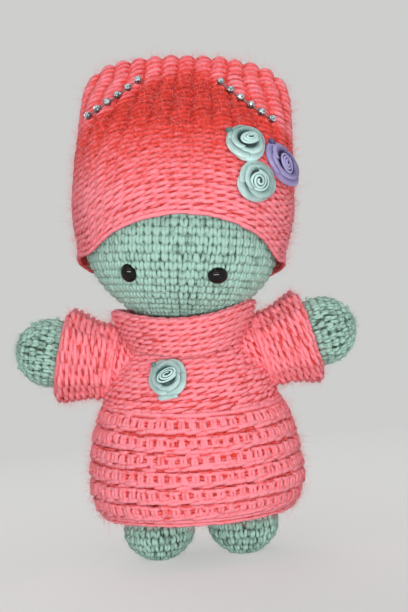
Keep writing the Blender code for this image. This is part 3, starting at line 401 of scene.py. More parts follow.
# The smooth lip over a crease or at an edge, and a strand under it
LIP = (
    (1.06, 1.25, (-0.25, 0.04, 0.35), (0.12, 0.08, 0.85), (0.5, 0.1, 0.95), (0.88, 0.13, 0.85),
     (1.25, 0.17, 0.35)),
    (1.0, 1.0, (-0.15, 0.2, 0.15), (0.2, 0.23, 0.5), (0.5, 0.24, 0.55), (0.8, 0.25, 0.5),
     (1.15, 0.27, 0.15)),
)

# A ridge of the skirt: a lip, a strand behind two posts beside a hole, and the loops above
RIDGE = LIP + (
    (0.84, 0.9, (-0.1, 0.47, -0.5), (0.25, 0.47, -0.2), (0.5, 0.48, -0.1), (0.75, 0.49, -0.2),
     (1.1, 0.49, -0.5)),
    (1.0, 1.08, (0.43, 0.2, 0.25), (0.34, 0.34, 0.55), (0.33, 0.5, 0.6), (0.4, 0.74, 0.3)),
    (1.0, 1.08, (0.57, 0.2, 0.25), (0.66, 0.34, 0.55), (0.67, 0.5, 0.6), (0.6, 0.74, 0.3)),
    (0.98, 1.1, (-0.12, 0.8, -0.3), (0.18, 0.74, 0.35), (0.5, 0.7, 0.55), (0.82, 0.74, 0.35),
     (1.12, 0.8, -0.3)),
    (0.8, 0.9, (-0.08, 0.94, -0.9), (0.22, 0.88, -0.3), (0.5, 0.86, -0.1), (0.78, 0.88, -0.3),
     (1.08, 0.94, -0.9)),
)

# The strands of the hem, laid level
HEM = (
    (1.02, 0.95, (-0.2, 0.45, 0.1), (0.15, 0.5, 0.7), (0.5, 0.5, 0.85), (0.85, 0.52, 0.7),
     (1.2, 0.58, 0.1)),
)

# Rib fabric: a plump strand that leans, and a short one over the next column's edge beside a gap
LUMP = (
    (1.02, 1.22, (-0.14, 0.2, 0.0), (0.16, 0.29, 0.5), (0.5, 0.4, 0.7), (0.84, 0.5, 0.5),
     (1.14, 0.58, 0.0)),
    (0.98, 0.86, (0.52, 0.84, -0.5), (0.75, 0.93, 0.3), (1.0, 1.02, 0.45), (1.22, 1.1, 0.3),
     (1.44, 1.18, -0.5)),
)

# A drawn-up rib: a plump strand that climbs right across it, and a fine one behind
ROPE = (
    (1.03, 1.1, (-0.06, 0.06, -0.5), (0.2, 0.18, 0.4), (0.5, 0.4, 0.7), (0.8, 0.62, 0.4),
     (1.06, 0.76, -0.5)),
    (0.9, 0.8, (-0.04, 0.66, -0.6), (0.22, 0.76, 0.05), (0.5, 0.92, 0.2), (0.78, 1.12, 0.05),
     (1.04, 1.26, -0.6)),
)


# ---- Materials

PLIES = 3


def node(tree, kind, inputs=(), operation=None):
    """A shader node. Each input, by name or number, gets a value or the socket that feeds it."""
    made = tree.nodes.new("ShaderNode" + kind)
    if operation:
        made.operation = operation
    for key, value in dict(inputs).items():
        if isinstance(value, bpy.types.NodeSocket):
            tree.links.new(value, made.inputs[key])
        else:
            made.inputs[key].default_value = value
    return made


def combine(tree, operation, *values):
    """A math node's result."""
    return node(tree, "Math", dict(enumerate(values)), operation).outputs[0]


def object_place(tree):
    return node(tree, "TexCoord").outputs["Object"]


def grain(tree, scale, detail=2):
    """Noise that stays with the object."""
    inputs = {"Vector": object_place(tree), "Scale": scale, "Detail": detail}
    return node(tree, "TexNoise", inputs).outputs["Fac"]


def tone_ramp(tree, value, deep, bright, low=0.3, high=0.92, floor=0.45):
    """Colours the shader from deep to bright, and a share of deep at tone 0."""
    ramp = node(tree, "ValToRGB", {"Fac": value})
    for element, position, colour in zip(ramp.color_ramp.elements, (low, high), (deep, bright)):
        element.position = position
        element.color = (*colour, 1)
    ramp.color_ramp.elements.new(0.0).color = (*(floor * part for part in deep), 1)
    tree.links.new(ramp.outputs["Color"], tree.nodes["Principled BSDF"].inputs["Base Color"])


def relief(tree, height, strength, distance):
    made = node(tree, "Bump", {"Strength": strength, "Distance": distance, "Height": height})
    tree.links.new(made.outputs["Normal"], tree.nodes["Principled BSDF"].inputs["Normal"])


def attribute(tree, name):
    made = node(tree, "Attribute")
    made.attribute_name = name
    return made.outputs["Fac"]


def plain_material(name, colour, roughness, metallic=0.0, coat=0.0, sheen=0.0, specular=0.5, noise=None):
    """A smooth finish. Noise is the scale, strength and distance of a faint unevenness."""
    made = bpy.data.materials.new(name)
    made.use_nodes = True
    values = {"Base Color": (*colour, 1), "Roughness": roughness, "Metallic": metallic, "Coat Weight": coat,
              "Specular IOR Level": specular, "Sheen Weight": sheen}
    for key, value in values.items():
        made.node_tree.nodes["Principled BSDF"].inputs[key].default_value = value
    if noise:
        scale, strength, distance = noise
        relief(made.node_tree, grain(made.node_tree, scale), strength, distance)
    return made


def yarn_material(name, bright, deep, floor=0.45):
    """Twisted, slightly fuzzy yarn, with painted shade where it dips into the fabric and along the grooves
    of its plies.
    """
    made = plain_material(name, bright, 0.9, specular=0.06)
    tree = made.node_tree
    layer = node(tree, "UVMap")
    layer.uv_map = "yarn"
    parts = node(tree, "SeparateXYZ", {0: layer.outputs["UV"]}).outputs
    turns = combine(tree, "MULTIPLY_ADD", parts["Y"], PLIES, parts["X"])
    # The plies' twist adds painted shade along their grooves; the mottle is the yarn's own uneven tone
    ply = combine(tree, "SINE", combine(tree, "MULTIPLY", turns, 2 * math.pi))
    mottle = combine(tree, "MULTIPLY_ADD", grain(tree, 420, 4), 0.9, -0.45)
    tone = combine(tree, "MULTIPLY_ADD", ply, 0.035, combine(tree, "ADD", mottle, attribute(tree, "tone")))
    tone_ramp(tree, tone, deep, bright, floor=floor)
    relief(tree, combine(tree, "MULTIPLY_ADD", ply, 0.25, grain(tree, 2600)), 0.35, 0.0004)
    return made


def ribbon_material(name, bright, deep):
    """Finely woven satin, with painted shade in its folds."""
    made = plain_material(name, bright, 0.4, sheen=0.1, specular=0.4, noise=(5200, 0.12, 0.0001))
    tree = made.node_tree
    base = combine(tree, "ADD", attribute(tree, "tone"), -0.15)
    tone_ramp(tree, combine(tree, "MULTIPLY_ADD", grain(tree, 240), 0.3, base), deep, bright, 0.38, 0.95)
    return made


def stone_material():
    """A clear stone over foil, with painted reflections: its facets are painted bright or dark at random."""
    made = plain_material("foiled_stone", (0.8, 0.9, 0.92), 0.05, metallic=0.6, coat=1.0)
    tree = made.node_tree
    tone_ramp(tree, attribute(tree, "facet"), (0.02, 0.05, 0.07), (0.75, 0.95, 0.97), 0.3, 0.66)
    return made


SAGE = yarn_material("sage_crochet", (0.43, 0.66, 0.57), (0.07, 0.11, 0.08))
CORAL = yarn_material("coral_crochet", (1.0, 0.31, 0.365), (0.8, 0.068, 0.052), 0.6)
SAGE_FUZZ = plain_material("sage_fibre", (0.5, 0.68, 0.6), 0.8)
CORAL_FUZZ = plain_material("coral_fibre", (1.0, 0.36, 0.38), 0.8)
EYE = plain_material("eye_black", (0.004, 0.003, 0.003), 0.06, specular=0.28)
WASHER = plain_material("washer_white", (0.75, 0.75, 0.72), 0.45, noise=(900, 0.1, 0.0001))
MINT = ribbon_material("mint_ribbon", (0.6, 0.83, 0.8), (0.07, 0.15, 0.14))
LILAC = ribbon_material("lilac_ribbon", (0.39, 0.35, 0.63), (0.045, 0.025, 0.11))
SILVER = plain_material("cup_silver", (0.34, 0.37, 0.38), 0.28, metallic=1.0, noise=(2500, 0.2, 0.0001))
STONE = stone_material()


def placed(name, data):
    """An object in the scene."""
    made = bpy.data.objects.new(name, data)
    bpy.context.scene.collection.objects.link(made)
    return made


def piece(name, shape, material, body, hides=()):
    """A shown piece, of yarn or a mesh, that rides on a body and stands for CAD nodes."""
    made = placed(name, shape.mesh(name) if isinstance(shape, Yarn) else shape)
    made.data.materials.append(material)
    if body:
        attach(made, body)
    if hides:
        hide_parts(*hides)
    return made


def fuzz_piece(name, material, body, slot_name, *runs):
    """A piece of loose fibres. A run is a skin, a count, two v, the fibres' length and their lift."""
    work = Yarn()
    for run in runs:
        fuzz(work, *run)
    piece(name, work, material, body)


def repaint(name, material):
    """A better material for a CAD node that stays."""
    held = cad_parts[name].data.materials
    held.clear()
    held.append(material)


HEAD_FRAME = Matrix.Translation(NECK_PLACE) @ Euler((0, HEAD_TILT, HEAD_YAW), "ZYX").to_matrix().to_4x4()


# ---- Head

# Painted shade on the sides of the sage strands, weaker than on the coral
SAGE_FLANK_SHADE = 0.08
# The hat covers the head's rows above this v
HAIRLINE = 0.6
HEAD_YARN = 0.00112


def head_grid():
    rows = []
    for angle in np.linspace(-np.pi / 2, np.pi / 2, 160):
        high = HEAD_UPPER if angle > 0 else HEAD_LOWER
        ring = oval(1, 1) * math.cos(angle) * np.array(HEAD_HALF)
        rows.append(at_height(ring, HEAD_LOWER + high * math.sin(angle)))
    return np.array(rows)


head_skin = Skin(head_grid(), HEAD_FRAME, 0.001)
work = Yarn(SAGE_FLANK_SHADE)
shaded_backing(work, head_skin, 0.03, 1.0, 0.0003, tone=0.42, rows=40, cols=72)
places = cells(head_skin, 0.05, 0.985, 0.0047, 0.0043, step=6)
under_hat = places[:, 1] > HAIRLINE
stitch(work, head_skin, places[~under_hat], SINGLE, HEAD_YARN, count=5)
stitch(work, head_skin, places[under_hat], SINGLE, HEAD_YARN, sides=4, count=4)
head = piece("head", work, SAGE, "head", ("head_cover", "head_stuffing"))
fuzz_piece("head_fuzz", SAGE_FUZZ, "head", "sage_yarn", (head_skin, 4200, 0.1, 0.75, 0.0024, 0.0014))


# ---- Eyes

# Each eye's place aside, and how far it seems squashed by the yarn round it, across and up
EYES = {"left": (0.0221, 1.08, 0.9), "right": (-0.0234, 0.86, 1.02)}
EYE_SINK = 0.0001
# From the stem's end over the rim to the top of the dome
EYE_DOME = np.radians((0, 11, 22, 33, 44, 55, 66, 76, 84))
EYE_PROFILE = (
    (0.0, -0.0085), (0.0016, -0.0085), (0.0016, -0.0002), (0.0048, 0.0), (0.00502, 0.0003),
    *((0.005 * math.cos(a), 0.0007 + 0.004 * math.sin(a)) for a in EYE_DOME), (0.0, 0.0047),
)


def lathe(profile, matrix, count=48):
    """A turned sheet from (radius, height) points."""
    turn = 2 * np.pi * np.arange(count) / count
    rows = [np.column_stack([r * np.cos(turn), r * np.sin(turn), np.full(count, z)]) for r, z in profile]
    return moved(np.array(rows), matrix)


def eye_frame(aside, wide, tall):
    up = (EYE_HEIGHT - HEAD_LOWER) / HEAD_LOWER
    across = aside / HEAD_HALF[0]
    ahead = -math.sqrt(1 - up**2 - across**2)
    place = Vector((aside, ahead * HEAD_HALF[1], EYE_HEIGHT))
    normal = Vector((across / HEAD_HALF[0], ahead / HEAD_HALF[1], up / HEAD_LOWER)).normalized()
    return HEAD_FRAME @ facing(place - normal * EYE_SINK, normal) @ Matrix.Diagonal((wide, tall, 1, 1))


for side, shape in EYES.items():
    work = Yarn()
    work.sheet(lathe(EYE_PROFILE, eye_frame(*shape)), 1)
    piece(f"{side}_eye_dome", work, EYE, "head", (f"{side}_eye",))
    repaint(f"{side}_eye_washer", WASHER)


# ---- Hat

HAT_YARN = 0.00104
LIP_YARN = 0.00095
# The brim: how far it is turned, its arch over the face and how fast that falls, its height at the
# sides, and how much higher it is ahead and lower behind
BRIM_TURN = 0.14
BRIM_ARCH = (0.055, 0.04)
BRIM_SIDE = 0.0318
BRIM_AHEAD = 0.005
BRIM_BEHIND = 0.0127
# The v at which the drawn-up ribs start
RIBS_START = 0.48
# Where a chain's line starts, as shares of the half width and the height, and how it falls
CHAIN_LINE = (0.325, 0.886, 0.302)
# How much painted shade darkens the yarn between the chains, where the hat's top leans back
CHAIN_SHADE_DEPTH = 0.76


def hat_brim():
    """The brim's height round the hat: an arch over the face, and lower at the back."""
    ahead = np.cos(2 * np.pi * np.arange(AROUND) / AROUND - BRIM_TURN)
    arch = BRIM_ARCH[0] - BRIM_ARCH[1] * (1 - ahead)
    heights = np.maximum(arch, BRIM_SIDE + np.where(ahead > 0, BRIM_AHEAD, BRIM_BEHIND) * ahead)
    for _ in range(30):
        heights = heights * 0.5 + (np.roll(heights, 1) + np.roll(heights, -1)) * 0.25
    return heights


def hat_power(height):
    """How square the hat's outline is at a height."""
    return 2.0 + 0.5 * height / HAT_HEIGHT


def hat_grid():
    """Columns that rise from the brim and, above HAT_TURN, go straight up and over the top seam."""
    levels = np.linspace(HAT_TABLE[0][0] * HAT_HEIGHT, HAT_HEIGHT, 220)
    sizes = sizes_at(HAT_TABLE, HAT_HALF, 0, HAT_HEIGHT)(levels)
    power = hat_power(levels)
    rings = np.array([oval(w, d, p) for (w, d), p in zip(sizes, power)])
    turn = int(np.searchsorted(levels, HAT_TURN * HAT_HEIGHT))
    shares = np.linspace(0, 1, 170)
    grid = np.zeros((len(shares), AROUND, 3))
    for column, brim in enumerate(hat_brim()):
        low = np.searchsorted(levels, brim)
        rise = np.column_stack([rings[low:turn, column], levels[low:turn]])
        across, ahead = rings[turn, column]
        rest = 1 - (np.abs(across) / sizes[turn:, 0]) ** power[turn:]
        keep = rest > 0
        depth = np.sign(ahead) * sizes[turn:, 1][keep] * rest[keep] ** (1 / power[turn:][keep])
        over = np.column_stack([np.full(keep.sum(), across), depth, levels[turn:][keep]])
        path = np.concatenate([rise, over, [(across, 0, over[-1, 2] + 0.0003)]])
        path[0, 2] = brim
        length = np.concatenate([[0], np.cumsum(np.linalg.norm(np.diff(path, axis=0), axis=1))])
        even = np.stack([np.interp(shares * length[-1], length, path[:, k]) for k in range(3)], -1)
        grid[:, column] = soften(even, 6)
    return grid


hat_plain = Skin(hat_grid())
hat_skin = Skin(hat_plain.grid, HEAD_FRAME, 0.0012)


def rib_lift(u, v):
    """The ribs' roundness: almost flat over the brim, and broad with narrow grooves near the top."""
    depth = 0.0002 + 0.0019 * np.clip((v - 0.34) / 0.4, 0, 1)
    return depth * (np.abs(np.cos(np.pi * u * HAT_RIBS)) ** 0.6 - 0.78)


def hat_painted_shade(u, v):
    """Painted shade: darker between the chains, where the hat's top leans back, in the grooves between the
    ribs, and high on the hat.
    """
    point = hat_plain.read(u, v)[0]
    across = np.abs(point[..., 0]) / HAT_HALF[0]
    up = point[..., 2] / HAT_HEIGHT
    aside, top, fall = CHAIN_LINE
    inside = np.clip((top - fall * (across - aside) - up) / 0.05 + 0.5, 0, 1)
    inside = inside * np.clip(-point[..., 1] / 0.008, 0, 1)
    chain_shade = CHAIN_SHADE_DEPTH * np.interp(up, (0.44, 0.76, 0.88, 0.95), (0, 1, 1, 0.5)) * inside
    groove = np.abs(np.sin(np.pi * u * HAT_RIBS)) ** 8 * np.interp(v, (0.3, 0.6), (0.0, 0.35))
    return (1 - chain_shade) * (1 - groove) * np.interp(up, (0.7, 0.82), (1, 0.79))


work = Yarn()
shaded_backing(work, hat_skin, 0, 1, 0.0004, tone=0.38, rows=110, cols=HAT_RIBS * 6, lift=rib_lift)
places = cells(hat_skin, 0.015, 0.5, 0.0035, 0.006)
stitch(work, hat_skin, places, LUMP, HAT_YARN, wobble=0.07, lift=rib_lift, shade_by_place=hat_painted_shade)
places = cells(hat_skin, RIBS_START, 0.985, 0.0035, 1, columns=HAT_RIBS)
stitch(work, hat_skin, places, ROPE, HAT_YARN, count=8, lift=rib_lift, shade_by_place=hat_painted_shade)
stitch(work, hat_skin, cells(hat_skin, 0.0, 0.028, 1, 0.0056, rows=1), LIP, LIP_YARN, lift=rib_lift)
piece("ribbed_hat", work, CORAL, "hat", ("hat",))
fuzz_piece("hat_fuzz", CORAL_FUZZ, "hat", "coral_yarn", (hat_skin, 9000, 0.0, 1.0, 0.0036, 0.002))


# ---- Skirt

SKIRT_BANDS = 7
SKIRT_COLUMNS = 60
# Heights of the skirt's creases at its front, from the hem to the waist
SKIRT_EDGES = (0.0212, 0.0253, 0.0337, 0.0421, 0.0507, 0.0597, 0.0688, 0.0781)
# How deep the creases are, and how full a band is at shares of its height
CREASE_DEPTH = 0.0018
BAND_SHAPE = ((0, 0.08, 0.28, 0.72, 0.95, 1.0), (0.05, 0.85, 1.0, 0.85, 0.35, 0.05))
# Half widths, half depths and heights of the skirt's inside
SKIRT_INSIDE = (
    (0.0482, 0.0416, 0.0222), (0.0468, 0.04, 0.0232), (0.0495, 0.042, 0.031),
    (0.0515, 0.044, 0.04), (0.0505, 0.0432, 0.06), (0.044, 0.0375, 0.0765),
)


def skirt_heights(v):
    """Heights of the rows at each v, round the skirt: they hang lower in front than at the sides."""
    turn = 2 * np.pi * np.arange(AROUND) / AROUND
    swing = 0.006 * (1 - np.exp(-1.386 * (1 - np.cos(turn)))) - 0.002 * np.sin(turn)
    front = np.interp(v, np.linspace(0, 1, len(SKIRT_EDGES)), SKIRT_EDGES)
    share = np.interp(v, (0, 0.14, 0.29, 0.43, 0.6, 1), (0.35, 0.35, 0.55, 0.8, 1.0, 1.0))
    return front + share * swing


skirt_half = sizes_at(SKIRT_TABLE, SKIRT_HALF, SKIRT_LOW, SKIRT_TOP)


def skirt_grid():
    unit = oval(1, 1)
    rows = []
    for v in np.linspace(0, 1, 260):
        heights = skirt_heights(v)
        inset = CREASE_DEPTH * (1 - np.interp((v * SKIRT_BANDS) % 1, *BAND_SHAPE))
        rows.append(at_height(unit * (skirt_half(heights) - inset), heights))
    return np.array(rows)


skirt_skin = Skin(skirt_grid(), None, 0.001)
work = Yarn()
shaded_backing(work, skirt_skin, 0, 1, 0.0005, tone=0.34, rows=150, cols=144)
places = cells(skirt_skin, 1 / SKIRT_BANDS, 1, 1, 1, rows=SKIRT_BANDS - 1, columns=SKIRT_COLUMNS)
stitch(work, skirt_skin, places, RIDGE, 0.00112)
places = cells(skirt_skin, 0, 1 / SKIRT_BANDS, 1, 1, rows=2, columns=SKIRT_COLUMNS)
stitch(work, skirt_skin, places, HEM, 0.00108)
inner = np.array([at_height(oval(w, d), z) for w, d, z in SKIRT_INSIDE])
# The skirt's inside, at a lower tone: painted shade under the skirt
work.sheet(inner[::-1, ::3], 0.7)
piece("ribbed_skirt", work, CORAL, "body", ("dress_skirt",))


# ---- Yoke and torso

# How far up the yoke the skirt's size fades out
YOKE_JOIN = 0.0085


def yoke_grid():
    """From the skirt's top row, whose size it takes, up to the neck."""
    unit = oval(1, 1)
    low = skirt_heights(1.0) - 0.0004
    yoke_half = sizes_at(YOKE_TABLE, YOKE_HALF, YOKE_LOW, YOKE_TOP)
    rows = []
    for share in np.linspace(0, 1, 160):
        heights = low + (YOKE_TOP - low) * share
        own = yoke_half(heights)
        near = np.clip(1 - (heights - low) / YOKE_JOIN, 0, 1)[:, None]
        joined = np.maximum(own, own + (skirt_half(low) - 0.0012 - own) * near**1.5)
        rows.append(at_height(unit * joined, heights))
    return np.array(rows)


def torso_grid():
    shares = np.linspace(0, 1, 160)
    sizes = rounded_rows(TORSO_TABLE, shares) * np.array(TORSO_HALF)
    heights = TORSO_LOW + (TORSO_TOP - TORSO_LOW) * shares
    return np.array([at_height(oval(w, d), z) for (w, d), z in zip(sizes, heights)])


yoke_skin = Skin(yoke_grid(), None, 0.001)
work = Yarn()
shaded_backing(work, yoke_skin, 0, 1, 0.0003, tone=0.42, cols=192)
stitch(work, yoke_skin, cells(yoke_skin, 0, 0.03, 1, 0.0055, rows=1), LIP, 0.0011)
stitch(work, yoke_skin, cells(yoke_skin, 0.02, 1, 0.0032, 0.0056), LUMP, 0.00106, wobble=0.1)
piece("yoke", work, CORAL, "body", ("dress_bodice",))

torso_skin = Skin(torso_grid())
work = Yarn(SAGE_FLANK_SHADE)
shaded_backing(work, torso_skin, 0, 1, 0.0008)
stitch(work, torso_skin, cells(torso_skin, 0.02, 1, 0.0052, 0.0048), SINGLE, 0.0009, sides=4, count=4)
torso = piece("torso", work, SAGE, "body", ("body_cover", "body_stuffing"))


# ---- Collar and neck

COLLAR_TOP = (0.0368, 0.0345)
COLLAR_FOOT = (0.029, 0.034)
COLLAR_COLUMNS = 42


def collar_grid():
    """From the foot up the outer side, over the rolled rim and down inside."""
    angle = np.linspace(0, 2 * np.pi, AROUND, endpoint=False)
    top, foot = oval(*COLLAR_TOP), oval(*COLLAR_FOOT)
    low = 0.115 - 0.006 * np.cos(angle) ** 2
    high = 0.134 - np.where(np.cos(angle) > 0, 0.007, 0.002) * np.cos(angle) ** 2
    outward = foot / np.linalg.norm(foot, axis=1, keepdims=True)
    path = [(s, 1) for s in np.linspace(-0.06, 0.9, 30)]
    path += [(0.9 + 0.12 * math.sin(a), math.cos(a)) for a in np.linspace(0.2, math.pi, 12)]
    path += [(s, -1) for s in np.linspace(0.85, 0.2, 12)]
    rows = []
    for share, face in path:
        flat = foot + (top - foot) * share
        bulge = 0.0023 + 0.0009 * math.sin(min(max(share, 0), 1) * math.pi)
        rows.append(at_height(flat + outward * bulge * face, low + (high - low) * share))
    return np.array(rows)


collar_skin = Skin(soften(collar_grid(), 3), None, 0.0008)
work = Yarn()
shaded_backing(work, collar_skin, 0, 1, 0.0003, tone=0.45, cols=176)
places = cells(collar_skin, 0.0, 0.86, 0.0031, 1, columns=COLLAR_COLUMNS)
stitch(work, collar_skin, places, LUMP, 0.001, wobble=0.08)
piece("folded_collar", work, CORAL, "body", ("dress_collar",))

fuzz_piece("dress_fuzz", CORAL_FUZZ, "body", "coral_yarn", (skirt_skin, 6500, 0, 1, 0.0034, 0.0018),
           (yoke_skin, 1500, 0, 0.8, 0.003, 0.0016), (collar_skin, 2200, 0, 0.6, 0.003, 0.0016))

neck_grid = np.array([
    at_height(oval(NECK_RADIUS * math.sin(a), NECK_RADIUS * math.sin(a)), NECK_RADIUS * math.cos(a))
    for a in np.linspace(math.radians(138), math.radians(86), 16)
])
neck_skin = Skin(neck_grid, HEAD_FRAME)
work = Yarn(SAGE_FLANK_SHADE)
shaded_backing(work, neck_skin, 0, 1, 0.0005, rows=12, cols=64)
stitch(work, neck_skin, cells(neck_skin, 0, 1, 0.005, 0.0045), SINGLE, 0.0007, sides=4, count=5)
piece("neck", work, SAGE, "neck", ("neck_ring", "neck_stuffing"))


# ---- Arms, sleeves and shoulders

LIMB_WOBBLE = 0.11
# Painted shade: the limbs' yarn is made a little darker than the face's, standing in for light that falls
# off toward the doll's edges
LIMB_SHADE = 0.88
CUFF_RIBS = 11
CUFF_RIB_DEPTH = 0.0006
CUFF_YARN = 0.00106
# (radius, height) along an arm, from the body to the hand's tip
HAND_ARC = np.radians(range(138, -1, -6))
ARM_PROFILE = (
    (0.0115, -0.002), (0.0107, 0.01), (0.0107, 0.016),
    *((HAND_RADIUS * math.sin(a), HAND_REACH + HAND_RADIUS * math.cos(a)) for a in HAND_ARC),
)
# Shares of the sleeve's mouth and length, from its seam over its rolled mouth and back inside
SLEEVE_PROFILE = (
    (0.765, 0.09), (0.82, 0.12), (0.87, 0.18), (0.88, 0.26), (0.865, 0.33), (0.9, 0.47), (0.99, 0.68),
    (1.085, 0.88), (1.08, 0.955), (0.98, 1.0), (0.87, 0.975), (0.82, 0.92), (0.765, 0.81), (0.7, 0.68),
    (0.617, 0.47),
)
SHOULDER_PROFILE = ((0.015, -0.01), (0.0158, -0.005), (0.0162, 0.0), (0.0168, 0.0035))
# Yarn ends that stand off the hands: which side of the arm, and the angle from the hand's tip
NUBS = {"right": ((1, 48), (1, 22), (1, 92), (-1, 34)), "left": ((-1, 24), (-1, 96))}
NUB_RADII = np.array([[0.0007, 0.0008, 0.001, 0.0004]])


def turned_grid(profile, passes=2):
    """A turned sheet: (radius, height) points, first the lowest v."""
    profile = np.array(profile, float)
    length = np.concatenate([[0], np.cumsum(np.linalg.norm(np.diff(profile, axis=0), axis=1))])
    wanted = np.linspace(0, length[-1], 110)
    r, z = (soften(np.interp(wanted, length, profile[:, k]), passes) for k in (0, 1))
    unit = oval(1, 1)
    return np.stack([at_height(unit * radius, height) for radius, height in zip(r, z)])


def cuff_lift(u, v):
    """A plain wave of ribs round the sleeve."""
    return CUFF_RIB_DEPTH * (np.cos(2 * np.pi * u * CUFF_RIBS) - 0.3)


# Painted shade, the same over the whole limb
def limb_painted_shade(u, v):
    return LIMB_SHADE


for side, sign in SIDES:
    arm = f"{side}_arm"
    lean = Matrix.Rotation(sign * (math.pi / 2 - ARM_RISE), 4, "Y")
    arm_frame = Matrix.Translation((sign * SHOULDER[0], 0, SHOULDER[2])) @ lean
    arm_skin = Skin(turned_grid(ARM_PROFILE), arm_frame, 0.0009)
    work = Yarn(SAGE_FLANK_SHADE)
    shaded_backing(work, arm_skin, 0, 1, 0.0004, tone=0.3)
    places = cells(arm_skin, 0, 0.985, 0.0043, 0.0041, step=3)
    stitch(work, arm_skin, places, SINGLE, 0.00095, wobble=LIMB_WOBBLE, shade_by_place=limb_painted_shade)
    for way, angle in NUBS[side]:
        a = math.radians(angle)
        run = np.linspace(0.97, 1.12, 4)[:, None] * HAND_RADIUS
        path = moved(np.array([[way * math.sin(a), 0.0, math.cos(a)]]) * run + (0, 0, HAND_REACH), arm_frame)
        ahead = np.broadcast_to(np.array((0.0, -1.0, 0.0)), path.shape)
        work.tubes(path[None], ahead[None], NUB_RADII, np.full((1, 4), 0.95), 8)
    made = piece(arm, work, SAGE, arm, (arm + "_cover", arm + "_stuffing"))
    fuzz_piece(arm + "_fuzz", SAGE_FUZZ, arm, "sage_yarn", (arm_skin, 1300, 0.3, 1, 0.0022, 0.0014))

    outer = [(BELL_RADIUS * r, SLEEVE_LENGTH * s) for r, s in SLEEVE_PROFILE]
    bell = Skin(turned_grid(outer, 1), arm_frame, 0.0008)
    work = Yarn()
    shaded_backing(work, bell, 0, 1, 0.0003, tone=0.4, cols=CUFF_RIBS * 8, lift=cuff_lift)
    stitch(work, bell, cells(bell, 0.0, 0.1, 1, 0.006, rows=1), LIP, 0.00115)
    places = cells(bell, 0.03, 0.66, 0.0034, 1, columns=2 * CUFF_RIBS)
    stitch(work, bell, places, LUMP, CUFF_YARN, wobble=0.1, lift=cuff_lift)
    stitch(work, bell, cells(bell, 0.62, 0.7, 1, 0.0055, rows=1), LIP, 0.00105)
    piece(f"{side}_sleeve", work, CORAL, arm, (f"{side}_cuff",))
    fuzz_piece(f"{side}_sleeve_fuzz", CORAL_FUZZ, arm, "coral_yarn", (bell, 2200, 0, 0.65, 0.003, 0.0016))

    join = Skin(turned_grid(SHOULDER_PROFILE), arm_frame, 0.0006)
    work = Yarn()
    shaded_backing(work, join, 0, 1, 0.0002, rows=24)
    stitch(work, join, cells(join, 0, 1, 0.0034, 1, columns=2 * CUFF_RIBS), LUMP, 0.001)
    made = piece(f"{side}_shoulder", work, CORAL, None)
    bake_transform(made)


# ---- Legs

# The foot's sides would meet this far below its widest row
SOLE_DROP = 0.0155
SOLE_HEIGHT = 0.0002


def leg_grid():
    """From the middle of the sole round the foot, up the ankle and over the hip's ball."""
    wide, deep = FOOT_HALF
    rows = []
    for share in np.linspace(0, 1, 40) ** 1.5:
        drop = FOOT_WIDEST * (1 - share) / SOLE_DROP
        rows.append((wide * (1 - drop**2) ** 0.5, deep * (1 - drop**3) ** (1 / 3), FOOT_WIDEST * share))
    for share in np.linspace(0.03, 1, 20):
        fullness = 0.5 + 0.5 * math.cos(math.pi * share)
        halves = [ANKLE_RADIUS + (half - ANKLE_RADIUS) * fullness for half in FOOT_HALF]
        rows.append((*halves, FOOT_WIDEST + ANKLE_RISE * share))
    for angle in np.radians(np.linspace(-30, 60, 30)):
        radius = HIP_RADIUS * math.cos(angle)
        rows.append((radius, radius, HIP_HEIGHT + HIP_RADIUS * math.sin(angle)))
    rows = [(rows[0][0] * k, rows[0][1] * k, SOLE_HEIGHT) for k in (0.02, 0.5)] + rows
    return np.array([at_height(oval(w, d), z) for w, d, z in rows])


for side, sign in SIDES:
    leg = f"{side}_leg"
    skin = Skin(leg_grid(), Matrix.Translation((sign * LEG_SPACING, 0, 0)), 0.0008)
    work = Yarn(SAGE_FLANK_SHADE)
    shaded_backing(work, skin, 0, 1, 0.0003, tone=0.3)
    start = np.interp(0.006, skin.rise, skin.shares)
    places = cells(skin, start, 0.97, 0.0044, 0.0042, step=3)
    stitch(work, skin, places, SINGLE, 0.00096, wobble=LIMB_WOBBLE, shade_by_place=limb_painted_shade)
    made = piece(leg, work, SAGE, leg, (leg + "_cover", leg + "_stuffing"))
    fuzz_piece(leg + "_fuzz", SAGE_FUZZ, leg, "sage_yarn", (skin, 900, start * 1.6, 0.6, 0.0018, 0.0012))


# ---- Places on the front of the hat and the yoke


def front_point(across, height, size_at, power):
    half_width, half_depth = size_at(height)
    rest = 1 - min(abs(across) / half_width, 1) ** power
    return Vector((across, -half_depth * rest ** (1 / power), height))


def front_frame(across, height, size_at, power=2.0):
    """A frame on the front, TRIM_LIFT above it, whose Z points out of it."""
    step = 0.0004
    middle = front_point(across, height, size_at, power)
    aside = front_point(across + step, height, size_at, power) - middle
    above = front_point(across, height + step, size_at, power) - middle
    normal = aside.cross(above).normalized()
    return facing(middle + normal * TRIM_LIFT, normal)


hat_size = sizes_at(HAT_TABLE, HAT_HALF, 0, HAT_HEIGHT, rounded=False)
yoke_size = sizes_at(YOKE_TABLE, YOKE_HALF, YOKE_LOW, YOKE_TOP, rounded=False)


def hat_spot(aside, up, sag=0.0):
    """A frame on the hat's front, at shares of its half width and height."""
    height = HAT_HEIGHT * up - sag
    return HEAD_FRAME @ front_frame(HAT_HALF[0] * aside, height, hat_size, hat_power(height))


# ---- Rhinestones

CHAINS = {"left": ((0.325, 0.886), (0.779, 0.749)), "right": ((-0.41, 0.89), (-0.826, 0.751))}
CHAIN_STONES = 6
CHAIN_SAG = 0.0012
GEM_SIDES = 8
# Radius, height and turn, as a share of a side, of a stone's rings, then the height of its point
GEM_RINGS = ((0.00095, 0.00315, 0), (0.0016, 0.00275, 0.5), (0.00202, 0.002, 0))
GEM_POINT = 0.001
# How bright the table facet is painted: a painted reflection
TABLE_PAINTED_FLASH = 0.58


